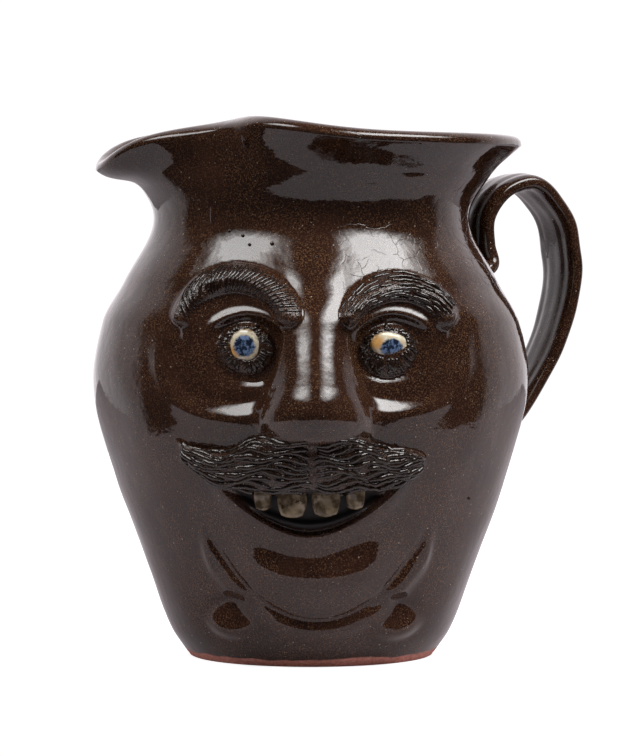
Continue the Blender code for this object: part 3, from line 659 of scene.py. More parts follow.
def mustache_form(x, z):
    """A full mustache with a notch under the nose."""
    rise = np.zeros_like(x)
    for side in (LEFT, RIGHT):
        share = side * (x - MUSTACHE_NOTCH_X) / MUSTACHE_REACH[side]
        base, top, thick = mustache_edges(side, np.clip(share, 0, 1))
        across = (z - (top + base) / 2) / ((top - base) / 2)
        body = np.clip(1 - np.abs(across) ** 4, 0, 1) ** 0.6
        end = 1 - ease((share - 0.93) / 0.09)
        rise = np.where((share >= 0), MUSTACHE_RISE * thick * body * end, rise)
    return rise


print("The mustache stands out by", MUSTACHE_RISE, "m")

# %% [markdown]
# ## The mouth
# The mouth is an opening under the mustache: straight above, and bent below like a smile. Its floor lies a
# little behind the wall and carries the ridge of the gum. Cutting it out with a Boolean would leave sharp
# borders, so the relief fades from the face to the floor of the mouth over a millimetre and a half.

# %% Mouth and gum
MOUTH_X = -0.8 * mm
MOUTH_HALF_WIDTH = 34.5 * mm
MOUTH_TOP = 80.0 * mm
MOUTH_BOTTOM = 61.8 * mm
MOUTH_CORNER = 79.0 * mm
MOUTH_POWER = 1.9
MOUTH_EDGE = 1.5 * mm
MOUTH_DEPTH_PLACE = -0.8 * mm
GUM_RISE = 3.2 * mm
GUM_WIDTH = 1.7 * mm
GUM_HEIGHT = 4.0 * mm


def mouth_reach(x):
    """0 in the middle of the mouth and 1 at its corners."""
    return np.abs(x - MOUTH_X) / MOUTH_HALF_WIDTH


def lower_edge(x):
    """Height of the mouth's lower edge at x."""
    return MOUTH_BOTTOM + (MOUTH_CORNER - MOUTH_BOTTOM) * mouth_reach(x) ** MOUTH_POWER


def mouth_opening(x, z):
    """1 in the open mouth, 0 outside, with rounded edges."""
    above = ease((z - lower_edge(x)) / MOUTH_EDGE + 0.5)
    below = ease((MOUTH_TOP - z) / MOUTH_EDGE + 0.5)
    sides = ease((1.03 - mouth_reach(x)) / 0.06)
    return above * below * sides


def gum_form(x, z):
    """The low ridge of the gum behind the lower lip."""
    middle = lower_edge(x) + GUM_HEIGHT * (1 - mouth_reach(x) ** 2)
    return GUM_RISE * bell(z - middle, GUM_WIDTH)


print("The mouth is", round(MOUTH_TOP - MOUTH_BOTTOM, 4), "m high in the middle")

# %% [markdown]
# ## The lips
# A broad, low swelling carries the mouth, as a real upper jaw does. The lower lip is a coil pressed along
# the opening and round its corners, so it is a soft bump at a fixed distance from the mouth's lower edge.

# %% Lips
MUZZLE = (-1.0 * mm, 76.0 * mm)
MUZZLE_SIZE = (58.0 * mm, 29.0 * mm, 21.0 * mm)
MUZZLE_RISE = 4.0 * mm
LIP_RISE = 2.6 * mm
LIP_DROP = 3.0 * mm
LIP_WIDTH = 5.0 * mm
LIP_TOP = 92.0 * mm


def lip_form(x, z):
    """The swelling that carries the mouth, and the rounded lower lip that runs up round its corners."""
    half_height = np.where(z > MUZZLE[1], MUZZLE_SIZE[1], MUZZLE_SIZE[2])
    muzzle = np.hypot((x - MUZZLE[0]) / MUZZLE_SIZE[0], (z - MUZZLE[1]) / half_height)
    slope = MOUTH_POWER * (MOUTH_CORNER - MOUTH_BOTTOM) / MOUTH_HALF_WIDTH
    slope = slope * mouth_reach(x) ** (MOUTH_POWER - 1)
    below = (lower_edge(x) - z) / np.sqrt(1 + slope**2)
    lip = bell(below - LIP_DROP, LIP_WIDTH) * (1 - ease((mouth_reach(x) - 1.05) / 0.5)) * (z < LIP_TOP)
    return MUZZLE_RISE * (1 - ease(muzzle)) + LIP_RISE * lip


print("The lower lip stands out by", LIP_RISE, "m")

# %% [markdown]
# ## The chin
# The chin is a flattened ball, and a soft fold swings up on both sides of it with a fine crease below. The
# ball is bent upwards at its sides like the jaw. The crease is one curve, and the fold follows it at a
# distance, so that both move together when the curve is changed.

# %% Chin and fold
CHIN = (1.5 * mm, 41.0 * mm)
CHIN_BEND = 12.0 * mm
CHIN_RISE = 7.8 * mm
CHIN_HALF_WIDTH = 38.0 * mm
CHIN_UP = 17.0 * mm
CHIN_DOWN = 22.0 * mm
FOLD_X = 3.0 * mm
FOLD_BOTTOM = 21.9 * mm
FOLD_CLIMB = 24.0 * mm
FOLD_HALF_WIDTH = 41.0 * mm
FOLD_POWER = 2.1
FOLD_RISE = 3.0 * mm
FOLD_EDGE = 5.0 * mm
FOLD_FLAT = 4.5 * mm
FOLD_FADE = 7.0 * mm
FOLD_END = 53.0 * mm
CREASE_DEPTH = 0.8 * mm
CREASE_WIDTH = 1.4 * mm


def fold_crease(x):
    """Height of the crease under the chin at x."""
    return FOLD_BOTTOM + FOLD_CLIMB * (np.abs(x - FOLD_X) / FOLD_HALF_WIDTH) ** FOLD_POWER


def chin_form(x, z):
    """The ball of the chin, and the soft fold that swings up on both sides of it."""
    reach = np.abs(x - CHIN[0]) / CHIN_HALF_WIDTH
    bent = z - CHIN[1] - CHIN_BEND * reach**2
    ball = (1 - ramp(bent / CHIN_UP)) * (1 - ease(-bent / CHIN_DOWN)) * (1 - ease((reach - 0.45) / 0.75))
    slope = FOLD_POWER * FOLD_CLIMB / FOLD_HALF_WIDTH
    slope = slope * (np.abs(x - FOLD_X) / FOLD_HALF_WIDTH) ** (FOLD_POWER - 1)
    outside = (fold_crease(x) - z) / np.sqrt(1 + slope**2)
    ends = 1 - ease((np.abs(x - FOLD_X) - FOLD_END + 0.6 * FOLD_EDGE) / (1.4 * FOLD_EDGE))
    fold = ramp(outside / FOLD_EDGE) * (1 - ease((outside - FOLD_FLAT) / FOLD_FADE))
    crease = CREASE_DEPTH * bell(outside, CREASE_WIDTH)
    return CHIN_RISE * ball + (FOLD_RISE * fold - crease) * ends


print("The chin stands out by", CHIN_RISE, "m")

# %% [markdown]
# ## Thumb marks at the heel
# Low on the wall, two places are steeper than the rest, where the potter held the wet pot. They mirror the
# table in their own way. Each is a small tilt of the wall that fades out, which is all such a mark is.

# %% Heel
HEEL_PATCHES = ((-37.0 * mm, 23.5 * mm), (40.0 * mm, 23.0 * mm))
HEEL_PATCH_SIZE = (13.5 * mm, 10.0 * mm)
HEEL_PATCH_SLOPE = 0.50


def heel_form(x, z):
    """Two places low on the wall that a thumb pressed upright."""
    rise = np.zeros_like(x)
    for centre_x, centre_z in HEEL_PATCHES:
        away = np.hypot((x - centre_x) / HEEL_PATCH_SIZE[0], (z - centre_z) / HEEL_PATCH_SIZE[1])
        rise = rise - HEEL_PATCH_SLOPE * (z - centre_z) * (1 - ease((away - 0.65) / 0.6))
    return rise


print("Thumb marks at the heel:", len(HEEL_PATCHES))

# %% [markdown]
# ## The whole face
# The forms are put on in the potter's order: what is pressed in or raised first, then the nose over it, the
# brows, and the mustache last. Clay laid over a form hides most of it, so only a share still shows through.
# Simply adding the heights would pile them up, and taking the greatest would lose the softness.

# %% The whole face
LAID_SINK = 1.5 * mm
KEPT_UNDER_NOSE = 0.25
KEPT_UNDER_MUSTACHE = 0.3


def laid_over(under, form, keep):
    """Clay pressed onto what lies under it, of which only a share still shows through."""
    sunk = 1 - (1 - keep) * ease(form / LAID_SINK)
    return np.maximum(under, under * sunk + form)


def face_relief(x, z):
    """How far the modelled face stands out from the turned wall at (x, z)."""
    rise = chin_form(x, z) + lip_form(x, z) + heel_form(x, z)
    for eye in (left_eye, right_eye):
        rise = rise + socket_form(x, z, eye) + lid_form(x, z, eye) + bone_form(x, z, eye)
    rise = laid_over(rise, nose_form(x, z), KEPT_UNDER_NOSE)
    for eye in (left_eye, right_eye):
        rise = rise + brow_form(x, z, eye)
    rise = laid_over(rise, mustache_form(x, z), KEPT_UNDER_MUSTACHE)
    mouth = mouth_opening(x, z)
    return rise * (1 - mouth) + (MOUTH_DEPTH_PLACE + gum_form(x, z)) * mouth


def face_points(x, z, lift=0.0):
    """Places in space on the modelled face at (x, z), moved out from the axis by lift."""
    x, z = np.broadcast_arrays(np.asarray(x, float), np.asarray(z, float))
    plain = wall_radius(z)
    turn = np.arcsin(np.clip(x / (plain + FACE_LIFT), -1, 1))
    radius = plain + face_relief(x, z) + lift
    return np.stack([radius * np.sin(turn), -radius * np.cos(turn), z], axis=-1)


tip = face_relief(np.array([NOSE_X]), np.array([NOSE_TIP_HEIGHT]))
print("The nose stands out", round(float(tip[0]), 4), "m")

# %% [markdown]
# ## Turning the pot
# The wheel makes a solid of revolution, and so does the Screw modifier: the section is drawn once and
# turned about Z. The section runs from the inside of the floor over the rim to the foot, with fine steps
# only where the face needs them.

# %% The section
LIP_DEPTH = 4.5 * mm
FOOT_BEVEL = 1.2 * mm
SECTION_START = 1.8 * mm
FACE_TOP = 182.0 * mm
FINE_STEP = 0.85 * mm
PLAIN_STEP = 1.3 * mm
INSIDE_STATIONS = 34
LIP_STATIONS = 9


def lathe_profile():
    """The wall's section as (radius, height), from the inside of the floor over the rim to the foot."""
    low = np.arange(SECTION_START, FACE_TOP, FINE_STEP)
    high = np.arange(FACE_TOP, RIM_HEIGHT, PLAIN_STEP)
    heights = np.concatenate([low, high, [RIM_HEIGHT]])
    radii = wall_radius(heights)
    slope = np.gradient(radii, heights)
    inner_z = FLOOR + np.linspace(0.06, 1.0, INSIDE_STATIONS) * (RIM_HEIGHT - FLOOR)
    inner_r = wall_radius(inner_z) - WALL * np.sqrt(1 + np.interp(inner_z, heights, slope) ** 2)
    inside = [(0.0, FLOOR), (0.55 * FOOT_RADIUS, FLOOR), (inner_r[0] - 0.25 * WALL, FLOOR + 0.25 * WALL)]
    inside += list(zip(inner_r, inner_z))
    lip_turns = np.linspace(math.pi, 0, LIP_STATIONS)[1:-1]
    lip_middle = (inner_r[-1] + RIM_RADIUS) / 2
    lip_half = (RIM_RADIUS - inner_r[-1]) / 2
    lip = [
        (lip_middle + lip_half * math.cos(t), RIM_HEIGHT + LIP_DEPTH * math.sin(t) ** 0.8)
        for t in lip_turns
    ]
    outside = list(zip(radii[::-1], heights[::-1]))
    foot = [
        (FOOT_RADIUS + 0.5 * FOOT_BEVEL, FOOT_BEVEL),
        (FOOT_RADIUS + 0.1 * FOOT_BEVEL, 0.3 * FOOT_BEVEL),
        (FOOT_RADIUS - 0.5 * FOOT_BEVEL, 0.0),
        (0.5 * FOOT_RADIUS, 0.0),
        (0.0, 0.0),
    ]
    return inside + lip + outside + foot


print("The section has", len(lathe_profile()), "stations")

# %% The lathe
AROUND = 300


def baked(obj):
    """A plain object with the mesh that obj's modifiers make."""
    graph = bpy.context.evaluated_depsgraph_get()
    mesh = bpy.data.meshes.new_from_object(obj.evaluated_get(graph))
    name = obj.name
    bpy.data.objects.remove(obj)
    return link(bpy.data.objects.new(name, mesh))


def throw_pot():
    """The plain pot, turned from its section."""
    profile = lathe_profile()
    mesh = bpy.data.meshes.new("thrown_wall")
    edges = [(i, i + 1) for i in range(len(profile) - 1)]
    mesh.from_pydata([(radius, 0, z) for radius, z in profile], edges, [])
    pot = link(bpy.data.objects.new("thrown_wall", mesh))
    screw = pot.modifiers.new("Turn", "SCREW")
    screw.axis = "Z"
    screw.steps = AROUND
    screw.render_steps = AROUND
    screw.use_merge_vertices = True
    screw.merge_threshold = 0.02 * mm
    bpy.context.view_layer.update()
    return baked(pot)


def coordinates(mesh):
    """The vertices' places as an array with one row each."""
    flat = np.empty(3 * len(mesh.vertices), np.float32)
    mesh.vertices.foreach_get("co", flat)
    return flat.reshape(-1, 3).astype(float)


pot = throw_pot()
print("The lathe made", len(pot.data.polygons), "faces")

# %% [markdown]
# ## Raising the face and pulling the spout
# The clay is now moved where it stands, as the potter does with fingers. Every vertex knows its angle and
# height, so the relief is looked up there and added to the radius. The turned steps are first gathered
# towards the front, where the face needs more of them. The same call stores two numbers at each vertex, how
# combed the clay is and how far inside the mouth it lies, and the glaze reads them later. Two faint dents
# under the rim, left by fingers, go in with it.

# %% Marks on the neck
NECK_MARKS = ((27, 231.5 * mm, 9), (34, 221.0 * mm, 7))
NECK_MARK_DEPTH = 0.7 * mm
NECK_MARK_WIDTH = 1.9 * mm


def neck_marks(turn, z):
    """Two short level dents that the fingers left under the rim."""
    rise = np.zeros_like(z)
    for degrees, height, spread in NECK_MARKS:
        across = bell(turn - math.radians(degrees), math.radians(spread))
        rise = rise - NECK_MARK_DEPTH * bell(z - height, NECK_MARK_WIDTH) * across
    return rise


print("Marks on the neck:", len(NECK_MARKS))

# %% Shape the clay
FRONT_GATHER = 0.60
FACE_HEIGHTS = (4.0 * mm, 200.0 * mm)
WAVER = 0.35 * mm
WAVER_SIZES = (55.0 * mm, 24.0 * mm)
WAVER_FADE = (8.0 * mm, 20.0 * mm)
COMBED_RISE = 2.5 * mm


def combed_share(x, z):
    """1 where the clay is scratched or stippled, 0 where it is smooth."""
    share = np.clip(mustache_form(x, z) / COMBED_RISE, 0, 1)
    for eye in (left_eye, right_eye):
        share = np.maximum(share, np.clip(brow_form(x, z, eye) / COMBED_RISE, 0, 1))
        share = np.maximum(share, 1 - ease((ball_place(x, z, eye) - 0.85) / 0.25))
    return share


def store(mesh, name, values):
    """Keeps one number at every vertex, for a material to read by its name."""
    mesh.attributes.new(name, "FLOAT", "POINT").data.foreach_set("value", values.astype(np.float32))


def shape_pot(pot):
    """Moves every vertex of the outer wall out or in, and up at the rim."""
    points = coordinates(pot.data)
    radius = np.hypot(points[:, 0], points[:, 1])
    turn = np.arctan2(points[:, 0], -points[:, 1])
    turn = turn - FRONT_GATHER * np.sin(turn)
    z = points[:, 2]
    outside = radius > wall_radius(z) - 0.5 * WALL
    x = (wall_radius(z) + FACE_LIFT) * np.sin(turn)
    front = outside & (np.abs(turn) < math.pi / 2) & (z > FACE_HEIGHTS[0]) & (z < FACE_HEIGHTS[1])
    rise = np.where(front, face_relief(x, z), 0.0) + np.where(outside, neck_marks(turn, z), 0.0)
    out, up = pull_of_spout(turn, z)
    whole = np.stack([radius * np.sin(turn), -radius * np.cos(turn), z], axis=1)
    drift = uneven(whole, WAVER_SIZES[0], WAVER, 3) + uneven(whole, WAVER_SIZES[1], 0.25 * WAVER, 4)
    drift = drift * ease((z - WAVER_FADE[0]) / WAVER_FADE[1]) * outside
    radius = radius + np.where(radius > 0.5 * FOOT_RADIUS, rise + out + drift, 0.0)
    points = np.stack([radius * np.sin(turn), -radius * np.cos(turn), z + up], axis=1)
    pot.data.vertices.foreach_set("co", points.astype(np.float32).ravel())
    store(pot.data, "combed", np.where(front, combed_share(x, z), 0.0))
    # How far inside the mouth each vertex lies, which is where the glaze paints shade.
    store(pot.data, "mouth_shade_share", np.where(front, mouth_opening(x, z - GUM_WIDTH), 0.0))
    pot.data.shade_smooth()
    pot.data.update()


shape_pot(pot)
print("The face reaches to y =", round(float(coordinates(pot.data)[:, 1].min()), 4))

# %% [markdown]
# ## The strap handle
# A handle is pulled from a lump of clay with a wet hand, so it is a flat strap with rounded edges and
# shallow grooves along it. It is a loft: rings along a route, each square to it. A bevelled curve would be
# shorter, but its section could not widen where the ends are pressed onto the wall.

# %% The handle's route
HANDLE_ROOT_HEIGHT = 176.0 * mm
HANDLE_TAIL_HEIGHT = 100.0 * mm
HANDLE_CROWN_HEIGHT = 217.6 * mm
HANDLE_BOW_HEIGHT = 183.0 * mm
HANDLE_REACH = 32.8 * mm
HANDLE_STEM_GAP = 9.5 * mm
HANDLE_SINK = 2.5 * mm


def handle_route():
    """The strap's middle line as (radius, height, size), from the shoulder over the top to the belly."""
    root = float(wall_radius(HANDLE_ROOT_HEIGHT))
    tail = float(wall_radius(HANDLE_TAIL_HEIGHT))
    bow = BELLY_RADIUS + HANDLE_REACH
    stem = NECK_RADIUS + HANDLE_STEM_GAP
    rise = HANDLE_CROWN_HEIGHT - HANDLE_ROOT_HEIGHT
    fall = HANDLE_BOW_HEIGHT - HANDLE_TAIL_HEIGHT
    return np.array(
        [
            (root - HANDLE_SINK, HANDLE_ROOT_HEIGHT, 1.10),
            (root + 0.2 * HANDLE_STEM_GAP, HANDLE_ROOT_HEIGHT + 0.07 * rise, 1.10),
            (stem + 0.06 * (bow - stem), HANDLE_ROOT_HEIGHT + 0.29 * rise, 1.05),
            (stem + 0.08 * (bow - stem), HANDLE_ROOT_HEIGHT + 0.60 * rise, 1.0),
            (stem + 0.28 * (bow - stem), HANDLE_CROWN_HEIGHT - 0.09 * rise, 1.0),
            (stem + 0.54 * (bow - stem), HANDLE_CROWN_HEIGHT, 1.0),
            (stem + 0.84 * (bow - stem), HANDLE_CROWN_HEIGHT - 0.27 * rise, 1.0),
            (bow, HANDLE_BOW_HEIGHT, 1.0),
            (bow - 0.12 * (bow - tail), HANDLE_BOW_HEIGHT - 0.38 * fall, 0.95),
            (tail + 0.49 * (bow - tail), HANDLE_BOW_HEIGHT - 0.73 * fall, 0.9),
            (tail + 0.10 * (bow - tail), HANDLE_TAIL_HEIGHT + 0.05 * fall, 0.9),
            (tail - HANDLE_SINK, HANDLE_TAIL_HEIGHT, 0.9),
        ]
    )


print("The handle passes", len(handle_route()), "stations")

# %% [markdown]
# ## Pulling the strap
# The strap's section is a flattened ring with three shallow grooves that the fingers left. Rings of it are
# set along the route, square to it, and joined by faces. The route needs a rounder curve than the wall's:
# one that leaves each station in the direction of its neighbours.

# %% The strap's section
HANDLE_WIDTH = 32.0 * mm
HANDLE_THICKNESS = 9.0 * mm
HANDLE_SIDES = 56
HANDLE_POWERS = (0.78, 0.72)
GROOVE_DEPTH = 0.55 * mm
GROOVE_ASIDE = 8.5 * mm
GROOVE_WIDTHS = (2.2 * mm, 2.6 * mm)


def strap_section():
    """(across, through) of the points round one ring, with a groove in the middle and one on each side."""
    turns = 2 * math.pi * (np.arange(HANDLE_SIDES) + 0.5) / HANDLE_SIDES
    wide = np.sign(np.cos(turns)) * np.abs(np.cos(turns)) ** HANDLE_POWERS[0] * HANDLE_WIDTH / 2
    deep = np.sign(np.sin(turns)) * np.abs(np.sin(turns)) ** HANDLE_POWERS[1] * HANDLE_THICKNESS / 2
    sides = bell(np.abs(wide) - GROOVE_ASIDE, GROOVE_WIDTHS[0])
    groove = GROOVE_DEPTH * (sides + 0.6 * bell(wide, GROOVE_WIDTHS[1]))
    return wide, deep - np.sign(deep) * groove * (np.abs(np.sin(turns)) > 0.2)


print("Points round the strap:", len(strap_section()[0]))

# %% The strap's rings
HANDLE_TURN = math.radians(116)
HANDLE_STEPS = 240
HANDLE_FLARE = 0.22
HANDLE_FLARE_LENGTH = 7.0 * mm
HANDLE_WAVER = 0.22 * mm
HANDLE_WAVER_SIZE = 22.0 * mm


def rounded_curve(knots, values, at):
    """A curve through (knots, values) that leaves each in the mean direction of its neighbours."""
    return through(knots, values, np.gradient(values, knots), at)


def handle_points():
    """The rings' points in space, from the shoulder to the belly."""
    route = handle_route()
    run = np.concatenate([[0], np.cumsum(np.hypot(*np.diff(route[:, :2], axis=0).T))])
    fine = np.linspace(0, run[-1], HANDLE_STEPS)
    line = np.stack([rounded_curve(run, route[:, i], fine) for i in range(3)], axis=1)
    along = np.gradient(line[:, :2], axis=0)
    along /= np.linalg.norm(along, axis=1)[:, None]
    flare = 1 + HANDLE_FLARE * bell(np.minimum(fine, run[-1] - fine), HANDLE_FLARE_LENGTH)
    wide, deep = strap_section()
    size = line[:, 2:3]
    r = line[:, 0:1] - size * deep * along[:, 1:2]
    z = line[:, 1:2] + size * deep * along[:, 0:1]
    w = size * flare[:, None] * wide
    sine, cosine = math.sin(HANDLE_TURN), math.cos(HANDLE_TURN)
    points = np.stack([r * sine + w * cosine, -r * cosine + w * sine, z], axis=-1).reshape(-1, 3)
    push = uneven(points, HANDLE_WAVER_SIZE, HANDLE_WAVER, 8)[:, None]
    return points + push * np.array([sine, 0.0, 0.5])


print("Points on the strap:", len(handle_points()))

# %% Handle
def pull_handle():
    """The strap as one mesh: rings of points, faces between them and a face at each end."""
    faces = []
    for a in range(0, (HANDLE_STEPS - 1) * HANDLE_SIDES, HANDLE_SIDES):
        b = a + HANDLE_SIDES
        for j in range(HANDLE_SIDES):
            k = (j + 1) % HANDLE_SIDES
            faces.append((a + j, a + k, b + k, b + j))
    faces.append(tuple(range(HANDLE_SIDES))[::-1])
    faces.append(tuple((HANDLE_STEPS - 1) * HANDLE_SIDES + j for j in range(HANDLE_SIDES)))
    mesh = bpy.data.meshes.new("strap_handle")
    mesh.from_pydata(handle_points().tolist(), [], faces)
    mesh.validate()
    mesh.shade_smooth()
    return link(bpy.data.objects.new("strap_handle", mesh))


handle = pull_handle()
print("The handle has", len(handle.data.polygons), "faces")

# %% [markdown]
# ## Drips and pimples
# Where the glaze ran it left a thick drip or two, and grit under it left pimples. They could be painted as
# bumps, but the drips on the neck stand out far enough to catch the light. So each is a flattened ball,
# half sunk into the wall and leaned to it.

# %% Drips and pimples
DRIPS = (
    (-32.0 * mm, 227.0 * mm, 1.3 * mm, 5.5 * mm, 0.8 * mm),
    (-43.5 * mm, 201.5 * mm, 1.5 * mm, 6.5 * mm, 0.9 * mm),
    (-36.0 * mm, 194.5 * mm, 0.8 * mm, 0.8 * mm, 0.7 * mm),
    (-30.0 * mm, 192.5 * mm, 0.8 * mm, 0.8 * mm, 0.7 * mm),
    (-27.0 * mm, 188.5 * mm, 0.8 * mm, 0.7 * mm, 0.6 * mm),
    (-17.0 * mm, 189.0 * mm, 1.0 * mm, 0.9 * mm, 0.8 * mm),
    (71.0 * mm, 75.0 * mm, 0.7 * mm, 0.7 * mm, 0.5 * mm),
)


def make_drops():
    """Drips and pimples of glaze, as flattened balls half sunk into the wall."""
    clay = bmesh.new()
    for x, z, half_width, half_height, half_depth in DRIPS:
        turn = math.asin(x / float(wall_radius(z)))
        out, up = pull_of_spout(np.array(turn), np.array(z))
        radius = float(wall_radius(z) + out)
        lean = math.atan2(float(wall_radius(z + mm) - wall_radius(z - mm)), 2 * mm)
        place = Matrix.Translation((radius * math.sin(turn), -radius * math.cos(turn), z + float(up)))
        place = place @ Matrix.Rotation(turn, 4, "Z") @ Matrix.Rotation(lean, 4, "X")
        size = Matrix.Diagonal((half_width, half_depth, half_height, 1))
        bmesh.ops.create_icosphere(clay, subdivisions=3, radius=1.0, matrix=place @ size)
    mesh = bpy.data.meshes.new("glaze_drops")
    clay.to_mesh(mesh)
    clay.free()
    mesh.shade_smooth()
    return link(bpy.data.objects.new("glaze_drops", mesh))


drops = make_drops()
print("Drops made:", len(DRIPS))

# %% [markdown]
# ## Combed hair
# The potter scratches brows and mustache with a comb or a pointed stick, and each scratch throws up a
# little ridge beside it. The ridges follow guide lines on the clay. Geometry Nodes turns every guide into
# a ridge: noise pushes it aside, so that it wobbles, and its thickness tapers to both ends. So the whole
# comb can be changed with three numbers, where modelled ridges would have to be drawn again. The group's
# inputs come first, then what each ridge does along its length, and last the tree itself.

# %% Inputs of the comb
COMB_STEP = 0.7 * mm
COMB_INPUTS = {
    "Thickness": "Float",
    "Wobble": "Float",
    "Unevenness": "Float",
    "Step": "Float",
    "Seed": "Int",
    "Material": "Material",
}


def socket(tree, name, kind, way):
    """A new input or output of a node group."""
    return tree.interface.new_socket(name, in_out=way, socket_type="NodeSocket" + kind)


print("The comb takes", list(COMB_INPUTS))

# %% Wobble and thickness of a ridge
COMB_PUSH = 4.0
COMB_TAPER = 0.35
COMB_FULL = 1.62
COMB_LEAST = 0.8


def wobbled(wires, given, noise):
    """The guides as curves with even steps, pushed about by the noise."""
    curve = wires.make("GeometryNodeMeshToCurve", {"Mesh": given["Guides"]}).outputs["Curve"]
    even = wires.make("GeometryNodeResampleCurve", {"Curve": curve, "Length": given["Step"]}, mode="LENGTH")
    centred = wires.vector("SUBTRACT", noise["Color"], (0.5, 0.5, 0.5))
    push = wires.scale(centred, wires.math("MULTIPLY", given["Wobble"], COMB_PUSH))
    moved = wires.make("GeometryNodeSetPosition", {"Geometry": even.outputs["Curve"], "Offset": push})
    return moved.outputs["Geometry"]


def ridge_thickness(wires, given, noise):
    """Thickness along a ridge: full in the middle, nothing at both ends, and a little uneven."""
    along = wires.make("GeometryNodeSplineParameter").outputs["Factor"]
    both = wires.math("MULTIPLY", along, wires.math("SUBTRACT", 1.0, along))
    size = wires.math("MULTIPLY", wires.math("POWER", both, COMB_TAPER), COMB_FULL)
    swell = wires.math("MULTIPLY_ADD", noise["Fac"], given["Unevenness"], COMB_LEAST)
    return wires.math("MULTIPLY", wires.math("MULTIPLY", size, swell), given["Thickness"])


print("In its middle a ridge has", round(COMB_FULL * 0.25**COMB_TAPER, 3), "of its thickness")

# %% The comb as a node tree
COMB_NOISE_SCALE = 260.0
COMB_SEED_SHIFT = 7.31
RIDGE_SIDES = 8


def comb_tree():
    """The node group, and the modifier's name for each of its inputs."""
    tree = bpy.data.node_groups.new("combed_ridges", "GeometryNodeTree")
    socket(tree, "Guides", "Geometry", "INPUT")
    names = {name: socket(tree, name, kind, "INPUT").identifier for name, kind in COMB_INPUTS.items()}
    socket(tree, "Ridges", "Geometry", "OUTPUT")
    wires = Wiring(tree)
    given = wires.make("NodeGroupInput").outputs
    inputs = {
        "Vector": wires.make("GeometryNodeInputPosition").outputs[0],
        "W": wires.math("MULTIPLY", given["Seed"], COMB_SEED_SHIFT),
        "Scale": COMB_NOISE_SCALE,
        "Detail": 2.0,
    }
    noise = wires.make("ShaderNodeTexNoise", inputs, noise_dimensions="4D").outputs
    curve = wobbled(wires, given, noise)
    ring = wires.make("GeometryNodeCurvePrimitiveCircle", {"Resolution": RIDGE_SIDES, "Radius": 1.0})
    inputs = {
        "Curve": curve,
        "Profile Curve": ring.outputs["Curve"],
        "Scale": ridge_thickness(wires, given, noise),
        "Fill Caps": True,
    }
    sweep = wires.make("GeometryNodeCurveToMesh", inputs)
    smooth = wires.make("GeometryNodeSetShadeSmooth", {"Geometry": sweep.outputs["Mesh"]})
    whole = wires.make("GeometryNodeRealizeInstances", {"Geometry": smooth.outputs["Geometry"]})
    inputs = {"Geometry": whole.outputs["Geometry"], "Material": given["Material"]}
    dress = wires.make("GeometryNodeSetMaterial", inputs)
    wires.make("NodeGroupOutput", {"Ridges": dress.outputs["Geometry"]})
    return tree, names


comb, comb_inputs = comb_tree()
print("The comb's tree has", len(comb.nodes), "nodes")

# %% [markdown]
# ## Guide lines on the clay
# A guide is a chain of places on the modelled surface, and the comb will follow it. The left brow is cut
# straight across, like a comb's teeth, and the right one is scraped lengthwise. The mustache's strokes
# leave the notch under the nose and run out to its two tips, and short rough ones stand round the white of
# each eye. Strokes drawn by hand would be livelier, but a rule with a little chance in it is quick to
# change, and a fixed seed gives the same strokes each time.

# %% Guides of the brows
BROW_REACHES = {LEFT: 6.0 * mm, RIGHT: 5.8 * mm}
BROW_STEP = 0.002
BROW_ROWS = 8


def guide(x, z, lift):
    """A chain of places on the clay, slightly sunk into it or proud of it."""
    return face_points(np.asarray(x), np.asarray(z), lift)


def beside_brow(eye, share, off):
    """The place at that share of a brow, moved by off square to its middle line, as (x, z)."""
    px, pz = brow_line(eye, share)
    ax, az = brow_line(eye, share + BROW_STEP)
    length = np.hypot(ax - px, az - pz)
    return px - (az - pz) / length * off, pz + (ax - px) / length * off


def left_brow_guides(dice):
    """Strokes straight across the brow, steeper at its outer end."""
    lines = []
    for share in np.concatenate([np.linspace(0.12, 0.30, 5), np.linspace(0.345, 0.985, 24)]):
        slant = 0.045 if share > 0.33 else 0.10
        jitter = dice.normal(0, 0.004)
        reach = BROW_REACHES[LEFT] * (0.72 + 0.28 * float(ease(share / 0.35)))
        t = np.linspace(-1, 1, 15)
        low = dice.uniform(-1.0, -0.8)
        high = dice.uniform(0.92, 1.08)
        off = reach * (low + (high - low) * (t + 1) / 2)
        lines.append(guide(*beside_brow(left_eye, share + jitter + slant * t, off), -0.15 * mm))
    return lines


def right_brow_guides(dice):
    """Rows of strokes along the brow, each broken into a few lengths."""
    lines = []
    for row in np.linspace(-0.92, 0.92, BROW_ROWS):
        start = dice.uniform(0.0, 0.08)
        while start < 0.94:
            end = min(start + dice.uniform(0.14, 0.34), 0.99)
            share = np.linspace(start, end, 24)
            reach = BROW_REACHES[RIGHT] * (0.75 + 0.25 * ease((1 - share) / 0.35))
            drift = dice.normal(0, 0.10)
            off = reach * (row + drift * (share - start) / (end - start))
            lines.append(guide(*beside_brow(right_eye, share, off), -0.2 * mm))
            start = end + dice.uniform(-0.03, 0.03)
    return lines


print("Rows of strokes along the right brow:", BROW_ROWS)

# %% Guides of the mustache
MUSTACHE_ROWS = 12


